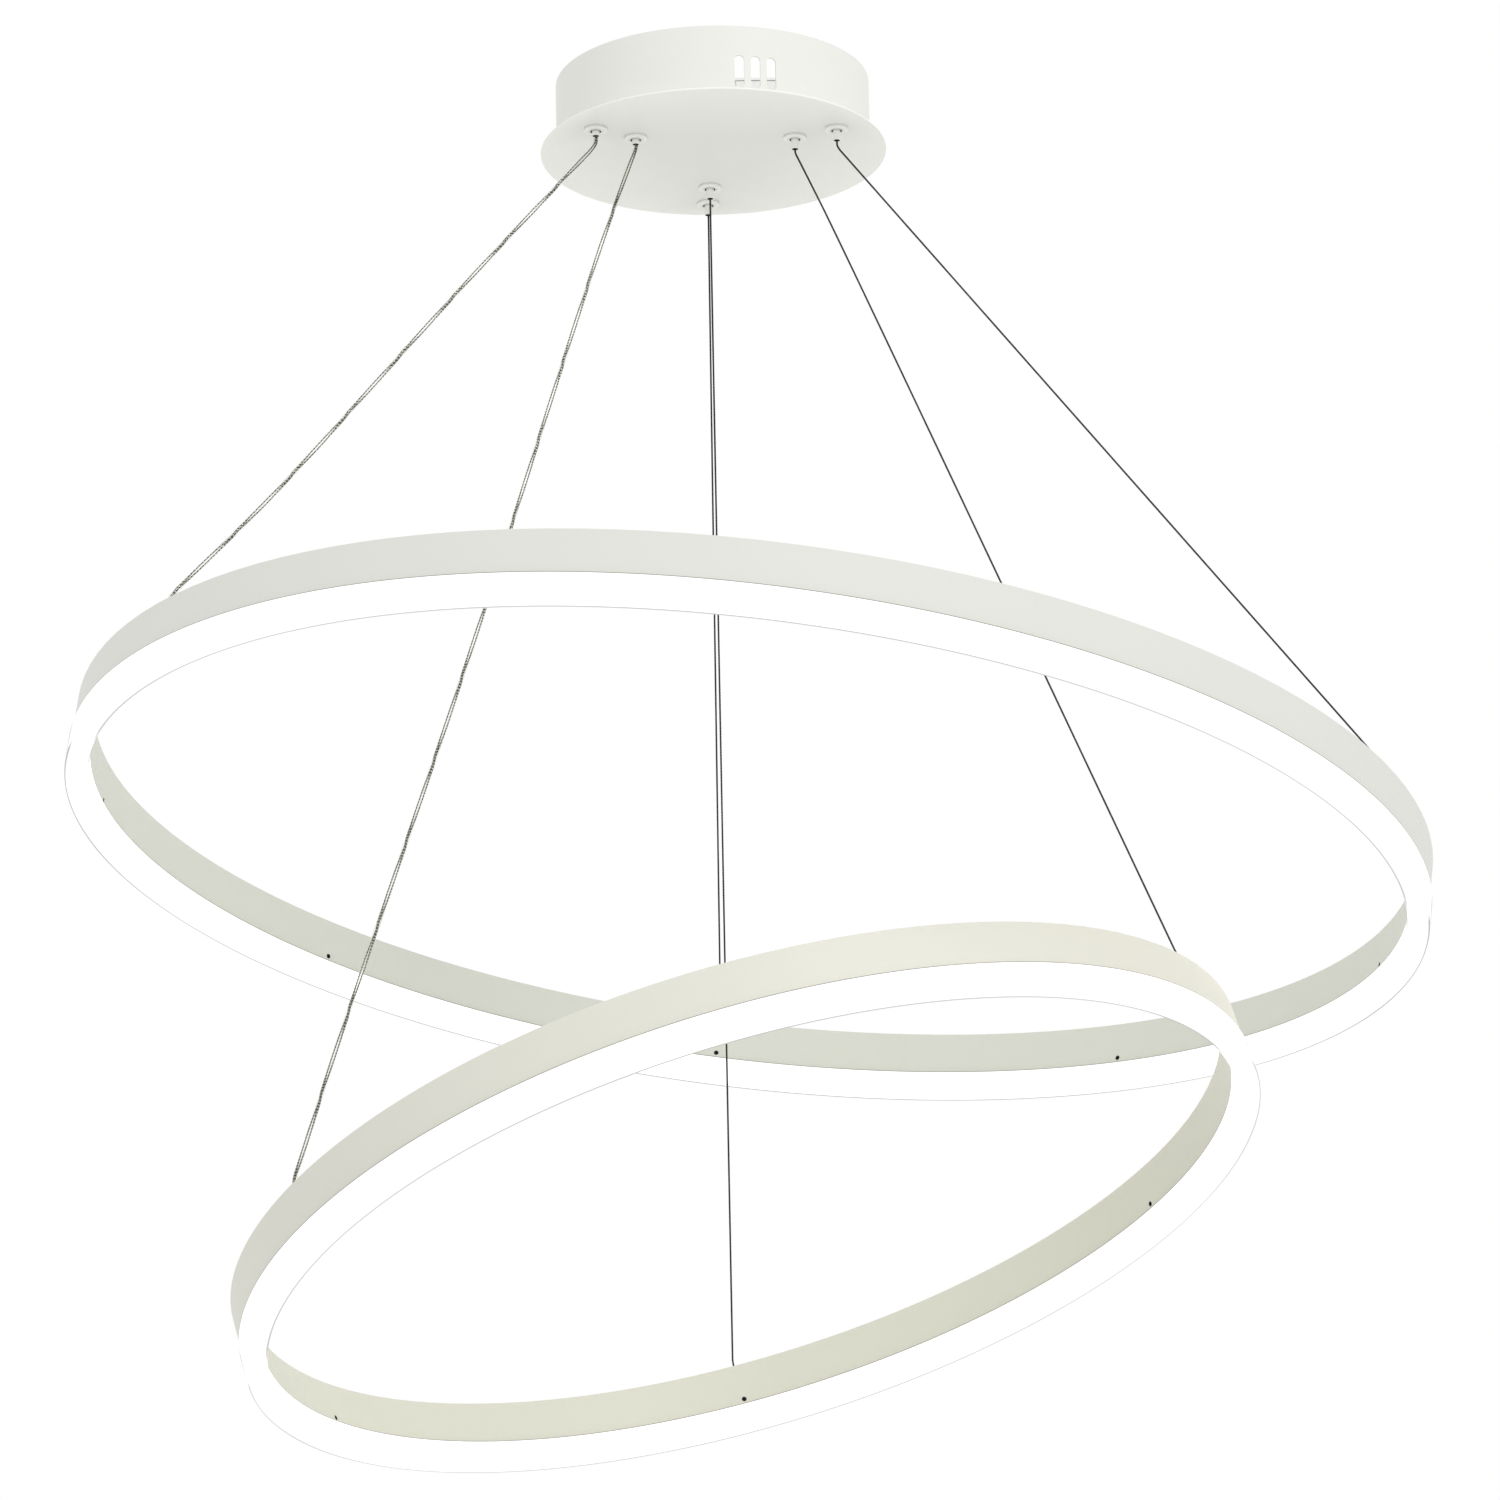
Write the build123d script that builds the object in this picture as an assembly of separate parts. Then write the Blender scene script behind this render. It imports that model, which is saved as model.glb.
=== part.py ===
"""Two-ring LED pendant light: a drum canopy that hangs a large and a small tilted light ring.

Frame: +Z up, origin on the ceiling at the centre of the canopy, so everything lies below z = 0.
Each ring hangs on three lines, at 210, 330 and 90 degrees: left, right and rear.
"""
import os
from math import acos, atan, cos, degrees, sqrt, tan

from build123d import *

os.makedirs("parts", exist_ok=True)

# Canopy drum and plate
DRUM_D = 189.0
DRUM_H = 42.8
DRUM_WALL = 1.0
PLATE_RIM = 9.5
PLATE_T = 1.2
PLATE_EDGE_R = 0.4

# Three vent slots in the drum wall
SLOT_COUNT = 3
SLOT_W = 5.8
SLOT_L = 21.0
SLOT_LIFT = 3.3
SLOT_MID_AZ = -76.8
SLOT_STEP_AZ = 5.95

# Lugs of the drum, with the studs and nuts that hold the plate to them
LUG_AZIMUTHS = (30.0, 150.0, 270.0)
LUG_L = 14.0
LUG_W = 16.0
LUG_T = 1.2
STUD_D = 4.0
STUD_INSET = 7.0
STUD_PROUD = 1.2
STUD_NUT_AF = 7.0
STUD_NUT_H = 3.2

# Bracket that is screwed to the ceiling, inside the drum
BRACKET_W = 25.0
BRACKET_T = 1.5
EAR_H = 17.0
EAR_GAP = 0.3
CEILING_SLOT_SPACING = 100.0
CEILING_SLOT_L = 20.0
CEILING_SLOT_W = 5.5
MAINS_HOLE_D = 12.0
SET_SCREW_D = 4.0
SET_SCREW_L = 8.0
SET_SCREW_Z = -9.0
SET_SCREW_SOCKET_AF = 2.0
SET_SCREW_SUNK = 0.3
EARTH_SCREW_X = -23.0
EARTH_SCREW_D = 4.0
EARTH_HEAD_D = 8.0
EARTH_HEAD_H = 2.6
EARTH_HEAD_EDGE_R = 0.8

# Terminal block under the bracket
BLOCK_X = 26.0
BLOCK_L = 24.0
BLOCK_W = 24.0
BLOCK_H = 13.0
BLOCK_EDGE_R = 1.0
BLOCK_PEG_D = 3.0
POLE_COUNT = 3
POLE_PITCH = 7.5
POLE_HOLE_D = 3.8
POLE_HOLE_DROP = 6.5
TERMINAL_SCREW_D = 3.0
TERMINAL_SCREW_L = 3.6
TERMINAL_SCREW_X = 5.0
SCREW_SLOT_W = 0.7
SCREW_SLOT_DEPTH = 0.8

# LED driver on the plate
DRIVER_L = 90.0
DRIVER_W = 44.0
DRIVER_H = 20.0
DRIVER_WALL = 1.6
DRIVER_LID_T = 2.0
DRIVER_CORNER_R = 2.0
DRIVER_Y = 10.0
DRIVER_PORT_Z = 9.0
OUTPUT_PORT_STEP = 12.0
TAB_L = 8.0
TAB_W = 10.0
TAB_T = 2.0
TAB_OFFSET = 15.0
BOSS_D = 6.0
BOSS_H = 4.0
DRIVER_SCREW_D = 3.0
DRIVER_SCREW_HEAD_D = 5.5
DRIVER_SCREW_HEAD_H = 2.0
DRIVER_SCREW_EDGE_R = 0.6
BOARD_T = 1.6
BOARD_RAISE = 4.0
BOARD_MARGIN = 1.0
BOARD_POST_D = 5.0
BOARD_POST_X = 22.0
TRANSFORMER_L = 18.0
TRANSFORMER_W = 20.0
TRANSFORMER_Y = 4.0
CAPACITOR_D = 10.0
CAPACITOR_X = 22.0
CAPACITOR_Y = -6.0
CHOKE_L = 8.0
CHOKE_W = 14.0
CHOKE_X = -23.0
CHOKE_Y = 6.0
LID_ROOM = 1.0

# Leads inside the canopy
LEAD_D = 3.0
LEAD_BEND_R = 7.0
LEAD_INTO_PORT = 2.0
MAINS_LOOP = 12.0
CABLE_LOOP = 13.0
CABLE_OVER_Z = -9.0
LARGE_CABLE_ELBOW = (-66.0, -12.0, -12.0)
SMALL_CABLE_ELBOW = (-62.0, -4.0, -12.0)

# Cable grips in the plate
GRIP_SIDES = {"left": 210.0, "right": 330.0, "rear": 90.0}
POWER_SIDE = "left"
FLANGE_LIP = 1.8
FLANGE_T = 2.0
FLANGE_EDGE_R = 0.7
BARREL_WALL = 0.9
BARREL_H = 21.0
MOUTH_GAP = 0.9
MOUTH_DEPTH = 1.2
PLUNGER_D = 4.6
WIRE_NIPPLE_L = 6.0
CABLE_NIPPLE_L = 2.8
NIPPLE_MOUTH_WALL = 0.6
NIPPLE_MOUTH_DEPTH = 1.8
NIPPLE_LIP_R = 0.25
HEAD_GAP = 0.4
HEAD_H = 1.5
CHAMBER_D = 8.2
CONE_LOW_Z = 1.0
CONE_HIGH_Z = 10.0
BALL_D = 2.0
BALL_COUNT = 3
CAP_H = 2.0
CAP_SUNK = 0.5
SPRING_WIRE_D = 0.5
SPRING_INSET = 0.4
SPRING_TURNS = 5
LOCK_NUT_WALL = 2.0
LOCK_NUT_H = 4.0

# Suspension wires and power cables
WIRE_D = 1.2
CABLE_D = 2.4
WIRE_BEND_R = 12.0
CABLE_BEND_R = 16.0
FOOT_BEND_R = 4.0
FOOT_RISE = 3.0
WIRE_TAIL = 9.0
STOP_WALL = 1.6
STOP_L = 7.0
STOP_FLOOR = 1.5

# Light rings: size, place of the middle of the band's lower edge, tilt and the direction it leans to,
# and how far the ring is turned about its own axis
LARGE_RING_D = 800.0
LARGE_RING_X = 11.9
LARGE_RING_Y = 7.4
LARGE_RING_DROP = 475.3
LARGE_RING_TILT = 9.53
LARGE_RING_TILT_AZ = 31.5
LARGE_RING_SPIN = 0.2
LARGE_RING_SCREW_COUNT = 9
LARGE_RING_CHIP_COUNT = 96
LARGE_GRIP_INSET = 10.5
SMALL_RING_D = 600.0
SMALL_RING_X = 7.6
SMALL_RING_Y = -28.4
SMALL_RING_DROP = 704.4
SMALL_RING_TILT = 18.21
SMALL_RING_TILT_AZ = 142.5
SMALL_RING_SPIN = -0.3
SMALL_RING_SCREW_COUNT = 6
SMALL_RING_CHIP_COUNT = 72
SMALL_GRIP_INSET = 38.5

# Section of a ring: metal band above, diffuser below
BAND_W = 10.0
BAND_H = 25.4
BAND_WALL = 1.1
BAND_EDGE_R = 0.4
TOP_WEB_T = 1.2
MID_WEB_Z = 11.0
MID_WEB_T = 1.2
DIFFUSER_W = 13.0
DIFFUSER_H = 15.4
DIFFUSER_WALL = 1.5
DIFFUSER_EDGE_R = 0.6
LEG_H = 6.0
LEG_T = 1.2
STRIP_GAP = 0.9
STRIP_T = 0.8
CHIP_SIZE = 2.8
CHIP_H = 0.9
RING_SCREW_D = 3.0
RING_SCREW_PROUD = 0.8
RING_SCREW_Z = 2.8
RING_SCREW_SUNK = 0.2
RING_SCREW_SOCKET_AF = 1.5
RING_SCREW_SOCKET_DEPTH = 1.3

# Clearances
THREAD_GAP = 0.03
HOLE_GAP = 0.2
SLIDE_GAP = 0.05
LEG_GAP = 0.1
WIRE_GAP = 0.25
SEAT_GAP = 0.05

# How far a cut runs past what it cuts
CUT = 1.0

# Sizes that follow from the driving dimensions
PLATE_TOP = -DRUM_H
PLATE_UNDER = PLATE_TOP - PLATE_T
PLATE_D = DRUM_D + 2 * PLATE_RIM
DRUM_INNER_R = DRUM_D / 2 - DRUM_WALL
STUD_R = DRUM_INNER_R - STUD_INSET
BARREL_D = CHAMBER_D + 2 * BARREL_WALL
FLANGE_D = BARREL_D + 2 * FLANGE_LIP
MOUTH_D = PLUNGER_D + 2 * MOUTH_GAP
HEAD_D = CHAMBER_D - 2 * HEAD_GAP
HEAD_Z = CONE_HIGH_Z
SPRING_D = HEAD_D - 2 * SPRING_INSET
LOCK_NUT_AF = BARREL_D + 2 * LOCK_NUT_WALL
STOP_D = CABLE_D + 2 * STOP_WALL
CHANNEL_W = BAND_W - 2 * BAND_WALL
LEG_W = CHANNEL_W - 2 * LEG_GAP
STRIP_W = CHANNEL_W - 2 * STRIP_GAP
RING_SCREW_L = BAND_WALL + LEG_GAP + LEG_T + RING_SCREW_PROUD - RING_SCREW_SUNK
LARGE_GRIP_R = DRUM_INNER_R - LARGE_GRIP_INSET
SMALL_GRIP_R = DRUM_INNER_R - SMALL_GRIP_INSET


def save(name, *solids):
    """Write one node: a single solid, or a group of separate solids."""
    shape = solids[0] if len(solids) == 1 else Compound(list(solids))
    export_step(shape, f"parts/{name}.step")
    print(name, len(solids), "solids", round(sum(solid.volume for solid in solids), 1), "mm3")


def upright(diameter, height, low):
    """Cylinder along Z whose lower end is at height low."""
    return Pos(0, 0, low) * Cylinder(diameter / 2, height, align=(Align.CENTER, Align.CENTER, Align.MIN))


def brick(length, width, height, low):
    """Box about the Z axis whose lower face is at height low."""
    return Pos(0, 0, low) * Box(length, width, height, align=(Align.CENTER, Align.CENTER, Align.MIN))


def along_x(diameter, length, start):
    """Cylinder along +X that begins at x = start."""
    return Pos(start, 0, 0) * Rot(0, 90, 0) * upright(diameter, length, 0)


def hexagon(across_flats, height, low):
    """Six-sided prism along Z."""
    corner_r = across_flats / sqrt(3)
    return Pos(0, 0, low) * extrude(RegularPolygon(corner_r, 6), height)


def at_azimuth(radius, azimuth, height=0.0):
    """Place on a circle about the Z axis, turned to face outwards."""
    return Rot(0, 0, azimuth) * Pos(radius, 0, height)


def tube_along(points, diameter, radii):
    """Round cord along straight runs joined by tangent arcs."""
    path = FilletPolyline(*points, radius=radii)
    section = Plane(path @ 0, z_dir=path % 0) * Circle(diameter / 2)
    return sweep(section, path).solid()


# Canopy

def canopy_drum():
    wall = upright(DRUM_D, DRUM_H, PLATE_TOP) - upright(2 * DRUM_INNER_R, DRUM_H + 2 * CUT, PLATE_TOP - CUT)
    for azimuth in LUG_AZIMUTHS:
        lug_mid = DRUM_INNER_R + DRUM_WALL / 2 - LUG_L / 2
        lug = brick(LUG_L, LUG_W, LUG_T, PLATE_TOP)
        lug -= Pos(STUD_R - lug_mid) * upright(STUD_D + 2 * HOLE_GAP, LUG_T + 2 * CUT, PLATE_TOP - CUT)
        wall += at_azimuth(lug_mid, azimuth) * lug
    outline = Rot(0, 0, 90) * SlotOverall(SLOT_L, SLOT_W)
    slot = extrude(Plane.YZ.offset(DRUM_INNER_R - CUT) * outline, DRUM_WALL + 3 * CUT)
    for index in range(SLOT_COUNT):
        azimuth = SLOT_MID_AZ + (index - (SLOT_COUNT - 1) / 2) * SLOT_STEP_AZ
        wall -= Rot(0, 0, azimuth) * Pos(0, 0, PLATE_TOP + SLOT_LIFT + SLOT_L / 2) * slot
    hole = along_x(SET_SCREW_D + 2 * HOLE_GAP, DRUM_WALL + 2 * CUT, DRUM_INNER_R - CUT)
    for turn in (0, 180):
        wall -= Rot(0, 0, turn) * Pos(0, 0, SET_SCREW_Z) * hole
    return wall


def boss_places():
    """Corners of the driver where a screw goes down into the plate."""
    reach = DRIVER_L / 2 + TAB_L / 2
    return [(sx * reach, DRIVER_Y + sy * TAB_OFFSET) for sx in (-1, 1) for sy in (-1, 1)]


def canopy_plate():
    plate = upright(PLATE_D, PLATE_T, PLATE_UNDER)
    plate = fillet(plate.edges().filter_by(GeomType.CIRCLE), PLATE_EDGE_R)
    for ring in RINGS:
        for azimuth in GRIP_SIDES.values():
            hole = upright(BARREL_D + 2 * HOLE_GAP, PLATE_T + 2 * CUT, PLATE_UNDER - CUT)
            plate -= at_azimuth(ring["grip_r"], azimuth) * hole
    for azimuth in LUG_AZIMUTHS:
        stud_h = LUG_T + STUD_NUT_H + STUD_PROUD
        plate += at_azimuth(STUD_R, azimuth) * upright(STUD_D, stud_h, PLATE_TOP)
    for x, y in boss_places():
        boss = upright(BOSS_D, BOSS_H, PLATE_TOP)
        boss -= upright(DRIVER_SCREW_D + 2 * THREAD_GAP, BOSS_H, PLATE_TOP)
        plate += Pos(x, y) * boss
    return plate


def plate_nuts():
    nut = hexagon(STUD_NUT_AF, STUD_NUT_H, PLATE_TOP + LUG_T)
    nut -= upright(STUD_D + 2 * THREAD_GAP, STUD_NUT_H + 2 * CUT, PLATE_TOP)
    return [at_azimuth(STUD_R, azimuth) * nut for azimuth in LUG_AZIMUTHS]


def ear_face():
    """Distance from the centre to the outer face of a bracket ear, just inside the drum."""
    return sqrt(DRUM_INNER_R ** 2 - (BRACKET_W / 2) ** 2) - EAR_GAP


def ceiling_bracket():
    strip = brick(2 * ear_face(), BRACKET_W, BRACKET_T, -BRACKET_T)
    ear = brick(BRACKET_T, BRACKET_W, EAR_H, -EAR_H)
    screw_hole = along_x(SET_SCREW_D + 2 * THREAD_GAP, BRACKET_T + 2 * CUT, -BRACKET_T)
    ear -= Pos(0, 0, SET_SCREW_Z) * screw_hole
    ceiling_slot = extrude(SlotOverall(CEILING_SLOT_L, CEILING_SLOT_W), 2 * BRACKET_T, both=True)
    for side in (-1, 1):
        strip += Pos(side * (ear_face() - BRACKET_T / 2)) * ear
        strip -= Pos(side * CEILING_SLOT_SPACING / 2) * ceiling_slot
    strip -= upright(MAINS_HOLE_D, 4 * BRACKET_T, -2 * BRACKET_T)
    strip -= Pos(EARTH_SCREW_X) * upright(EARTH_SCREW_D + 2 * THREAD_GAP, 4 * BRACKET_T, -2 * BRACKET_T)
    for y in peg_places():
        strip -= Pos(BLOCK_X, y) * upright(BLOCK_PEG_D + 2 * THREAD_GAP, 4 * BRACKET_T, -2 * BRACKET_T)
    return strip


def peg_places():
    return (-POLE_PITCH / 2, POLE_PITCH / 2)


def canopy_set_screws():
    tip = DRUM_D / 2 - SET_SCREW_SUNK - SET_SCREW_L
    screw = along_x(SET_SCREW_D, SET_SCREW_L, tip)
    socket = Rot(0, 90, 0) * hexagon(SET_SCREW_SOCKET_AF, SET_SCREW_L / 4, 0)
    screw -= Pos(tip + SET_SCREW_L * 3 / 4) * socket
    return [Rot(0, 0, turn) * Pos(0, 0, SET_SCREW_Z) * screw for turn in (0, 180)]


def earth_screw():
    head_top = -BRACKET_T
    screw = upright(EARTH_SCREW_D, BRACKET_T, -BRACKET_T)
    head = upright(EARTH_HEAD_D, EARTH_HEAD_H, head_top - EARTH_HEAD_H)
    head = fillet(head.edges().sort_by(Axis.Z)[0], EARTH_HEAD_EDGE_R)
    slot = brick(EARTH_HEAD_D, SCREW_SLOT_W, SCREW_SLOT_DEPTH, head_top - EARTH_HEAD_H)
    return Pos(EARTH_SCREW_X) * (screw + head - slot)


def pole_places():
    return [(index - (POLE_COUNT - 1) / 2) * POLE_PITCH for index in range(POLE_COUNT)]


def terminal_block():
    top = -BRACKET_T
    body = brick(BLOCK_L, BLOCK_W, BLOCK_H, top - BLOCK_H)
    body = fillet(body.edges().filter_by(Axis.X), BLOCK_EDGE_R)
    for y in peg_places():
        body += Pos(0, y) * upright(BLOCK_PEG_D, BRACKET_T, top)
    for y in pole_places():
        port = along_x(POLE_HOLE_D, BLOCK_L + 2 * CUT, -BLOCK_L / 2 - CUT)
        body -= Pos(0, y, top - POLE_HOLE_DROP) * port
        for x in (-TERMINAL_SCREW_X, TERMINAL_SCREW_X):
            well = upright(TERMINAL_SCREW_D + 2 * THREAD_GAP, BLOCK_H - POLE_HOLE_DROP, top - BLOCK_H)
            body -= Pos(x, y) * well
    return Pos(BLOCK_X) * body


def terminal_screws():
    low = -BRACKET_T - BLOCK_H + SEAT_GAP
    screw = upright(TERMINAL_SCREW_D, TERMINAL_SCREW_L, low)
    screw -= brick(TERMINAL_SCREW_D, SCREW_SLOT_W, SCREW_SLOT_DEPTH, low)
    places = [(x, y) for x in (-TERMINAL_SCREW_X, TERMINAL_SCREW_X) for y in pole_places()]
    return [Pos(BLOCK_X + x, y) * screw for x, y in places]


# Driver

def cable_port_y(index):
    """Across the driver: the two output ports, then the input port."""
    return DRIVER_Y + OUTPUT_PORT_STEP * (-0.5, 0.5, 0.0)[index]


def driver_case():
    shell_h = DRIVER_H - DRIVER_LID_T
    case = brick(DRIVER_L, DRIVER_W, shell_h, PLATE_TOP)
    case = fillet(case.edges().filter_by(Axis.Z), DRIVER_CORNER_R)
    inner = brick(DRIVER_L - 2 * DRIVER_WALL, DRIVER_W - 2 * DRIVER_WALL, shell_h, PLATE_TOP + DRIVER_WALL)
    case -= inner
    for x in (-BOARD_POST_X, BOARD_POST_X):
        case += Pos(x) * upright(BOARD_POST_D, BOARD_RAISE - DRIVER_WALL, PLATE_TOP + DRIVER_WALL)
    for x, y in boss_places():
        side = 1 if x > 0 else -1
        tab = brick(TAB_L + DRIVER_WALL, TAB_W, TAB_T, PLATE_TOP + BOSS_H)
        hole = upright(DRIVER_SCREW_D + 2 * HOLE_GAP, TAB_T + 2 * CUT, PLATE_TOP + BOSS_H - CUT)
        case += Pos(x - side * DRIVER_WALL / 2, y - DRIVER_Y) * tab
        case -= Pos(x, y - DRIVER_Y) * hole
    port = along_x(LEAD_D + 2 * HOLE_GAP, DRIVER_WALL + 2 * CUT, DRIVER_L / 2 - DRIVER_WALL - CUT)
    for index in range(3):
        turn = 0 if index == 2 else 180
        case -= Pos(0, cable_port_y(index) - DRIVER_Y, PLATE_TOP + DRIVER_PORT_Z) * Rot(0, 0, turn) * port
    return Pos(0, DRIVER_Y) * case


def driver_lid():
    low = PLATE_TOP + DRIVER_H - DRIVER_LID_T
    lid = brick(DRIVER_L, DRIVER_W, DRIVER_LID_T, low)
    lid = fillet(lid.edges().filter_by(Axis.Z), DRIVER_CORNER_R)
    lip_wall = 2 * (DRIVER_WALL + HOLE_GAP)
    lip = brick(DRIVER_L - lip_wall, DRIVER_W - lip_wall, DRIVER_LID_T, low - DRIVER_LID_T)
    lip -= brick(DRIVER_L - 2 * lip_wall, DRIVER_W - 2 * lip_wall, DRIVER_LID_T, low - DRIVER_LID_T)
    return Pos(0, DRIVER_Y) * (lid + lip)


def driver_board():
    low = PLATE_TOP + BOARD_RAISE
    length = DRIVER_L - 2 * (DRIVER_WALL + BOARD_MARGIN)
    width = DRIVER_W - 2 * (DRIVER_WALL + BOARD_MARGIN)
    board = brick(length, width, BOARD_T, low)
    top = low + BOARD_T
    room = DRIVER_H - 2 * DRIVER_LID_T - BOARD_RAISE - BOARD_T - LID_ROOM
    board += Pos(0, TRANSFORMER_Y) * brick(TRANSFORMER_L, TRANSFORMER_W, room, top)
    board += Pos(CAPACITOR_X, CAPACITOR_Y) * upright(CAPACITOR_D, room, top)
    board += Pos(CHOKE_X, CHOKE_Y) * brick(CHOKE_L, CHOKE_W, room / 2, top)
    return Pos(0, DRIVER_Y) * board


def driver_screws():
    seat = PLATE_TOP + BOSS_H + TAB_T
    screw = upright(DRIVER_SCREW_D, BOSS_H + TAB_T - SEAT_GAP, PLATE_TOP + SEAT_GAP)
    head = upright(DRIVER_SCREW_HEAD_D, DRIVER_SCREW_HEAD_H, seat)
    screw += fillet(head.edges().sort_by(Axis.Z)[-1], DRIVER_SCREW_EDGE_R)
    slot_low = seat + DRIVER_SCREW_HEAD_H - SCREW_SLOT_DEPTH
    screw -= brick(DRIVER_SCREW_HEAD_D, SCREW_SLOT_W, SCREW_SLOT_DEPTH, slot_low)
    return [Pos(x, y) * screw for x, y in boss_places()]


def mains_lead():
    """Loop from the terminal block round to the driver's input."""
    y = cable_port_y(2)
    y_block = pole_places()[-1]
    z_block = -BRACKET_T - POLE_HOLE_DROP
    z_driver = PLATE_TOP + DRIVER_PORT_Z
    x_loop = DRIVER_L / 2 + MAINS_LOOP
    points = [
        (BLOCK_X + BLOCK_L / 2 - LEAD_INTO_PORT, y_block, z_block),
        (x_loop, y_block, z_block),
        (x_loop, y, z_driver),
        (DRIVER_L / 2 - LEAD_INTO_PORT / 2, y, z_driver),
    ]
    return tube_along(points, LEAD_D, [LEAD_BEND_R, LEAD_BEND_R])


def inner_cable(ring, index):
    """Power cable from the top of its grip over to the driver's output."""
    grip = at_azimuth(ring["grip_r"], GRIP_SIDES[POWER_SIDE]).position
    z_driver = PLATE_TOP + DRIVER_PORT_Z
    y = cable_port_y(index)
    x_driver = -DRIVER_L / 2
    points = [
        (grip.X, grip.Y, PLATE_UNDER + BARREL_H + SEAT_GAP),
        (grip.X, grip.Y, CABLE_OVER_Z),
        ring["elbow"],
        (x_driver - CABLE_LOOP, y, z_driver),
        (x_driver + LEAD_INTO_PORT / 2, y, z_driver),
    ]
    return tube_along(points, CABLE_D, [LEAD_BEND_R, LEAD_BEND_R, LEAD_BEND_R])


# Cable grips: heights are measured up from the underside of the plate

def line_d(side):
    return CABLE_D if side == POWER_SIDE else WIRE_D


def nipple_low(side):
    """Height of the plunger's lower end."""
    return -FLANGE_T - (CABLE_NIPPLE_L if side == POWER_SIDE else WIRE_NIPPLE_L)


def cone_low_r():
    return PLUNGER_D / 2 + 2 * SLIDE_GAP


def cone_slope():
    return (CHAMBER_D / 2 - cone_low_r()) / (CONE_HIGH_Z - CONE_LOW_Z)


def ball_place(side):
    """Radius and height at which a ball nearly touches both the line and the cone."""
    radius = line_d(side) / 2 + BALL_D / 2 + SLIDE_GAP
    cone_r = radius + BALL_D / 2 / cos(atan(cone_slope())) + SLIDE_GAP
    return radius, CONE_LOW_Z + (cone_r - cone_low_r()) / cone_slope()


def grip_collar():
    flange = upright(FLANGE_D, FLANGE_T, -FLANGE_T)
    flange = fillet(flange.edges().sort_by(Axis.Z)[0], FLANGE_EDGE_R)
    collar = flange + upright(BARREL_D, BARREL_H, 0)
    collar -= upright(MOUTH_D, MOUTH_DEPTH, -FLANGE_T)
    collar -= upright(PLUNGER_D + 2 * SLIDE_GAP, FLANGE_T + CONE_LOW_Z, -FLANGE_T)
    cone_h = CONE_HIGH_Z - CONE_LOW_Z
    cone = Cone(cone_low_r(), CHAMBER_D / 2, cone_h, align=(Align.CENTER, Align.CENTER, Align.MIN))
    collar -= Pos(0, 0, CONE_LOW_Z) * cone
    collar -= upright(CHAMBER_D, BARREL_H, CONE_HIGH_Z)
    return collar


def grip_plunger(side):
    low = nipple_low(side)
    tube = upright(PLUNGER_D, HEAD_Z - low, low)
    tube = fillet(tube.edges().sort_by(Axis.Z)[0], NIPPLE_LIP_R)
    tube += upright(HEAD_D, HEAD_H, HEAD_Z)
    tube -= upright(line_d(side) + 2 * WIRE_GAP, HEAD_Z + HEAD_H - low, low)
    tube -= upright(PLUNGER_D - 2 * NIPPLE_MOUTH_WALL, NIPPLE_MOUTH_DEPTH, low)
    ball_z = ball_place(side)[1]
    window = along_x(BALL_D + 2 * SLIDE_GAP, HEAD_D, 0)
    for index in range(BALL_COUNT):
        tube -= Rot(0, 0, index * 360 / BALL_COUNT) * Pos(0, 0, ball_z) * window
    return tube


def grip_balls(side):
    radius, height = ball_place(side)
    ball = Sphere(BALL_D / 2)
    return [at_azimuth(radius, index * 360 / BALL_COUNT, height) * ball for index in range(BALL_COUNT)]


def cap_low():
    return BARREL_H - CAP_SUNK - CAP_H


def grip_cap(side):
    cap = upright(CHAMBER_D - 2 * THREAD_GAP, CAP_H, cap_low())
    return cap - upright(line_d(side) + 2 * WIRE_GAP, CAP_H, cap_low())


def grip_spring():
    """Coil between the plunger's head and the cap."""
    low = HEAD_Z + HEAD_H + SPRING_WIRE_D / 2 + SEAT_GAP
    high = cap_low() - SPRING_WIRE_D / 2 - SEAT_GAP
    coil_r = (SPRING_D - SPRING_WIRE_D) / 2
    path = Helix((high - low) / SPRING_TURNS, high - low, coil_r)
    section = Plane(path @ 0, z_dir=path % 0) * Circle(SPRING_WIRE_D / 2)
    return Pos(0, 0, low) * sweep(section, path, is_frenet=True).solid()


def grip_lock_nut():
    nut = hexagon(LOCK_NUT_AF, LOCK_NUT_H, PLATE_T)
    return nut - upright(BARREL_D + 2 * THREAD_GAP, LOCK_NUT_H + 2 * CUT, PLATE_T - CUT)


# Light rings: built flat about Z with the band's lower edge at z = 0, then tilted into place

def ring_place(ring):
    lean = Rot(0, 0, ring["tilt_az"]) * Rot(0, ring["tilt"], 0) * Rot(0, 0, -ring["tilt_az"])
    return Pos(*ring["centre"]) * lean * Rot(0, 0, ring["spin"])


def mid_r(ring):
    """Radius of the middle of the section."""
    return ring["diameter"] / 2 - DIFFUSER_W / 2


def turned(profile):
    """Spin a section drawn as radius and height about Z."""
    return revolve(Plane.XZ * profile, Axis.Z).solid()


def slab(radius, width, low, high):
    """Rectangle of a ring's section, centred on a radius."""
    return Pos(radius, (low + high) / 2) * Rectangle(width, high - low)


def screw_azimuths(ring):
    return [GRIP_SIDES["rear"] + index * 360 / ring["screws"] for index in range(ring["screws"])]


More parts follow.
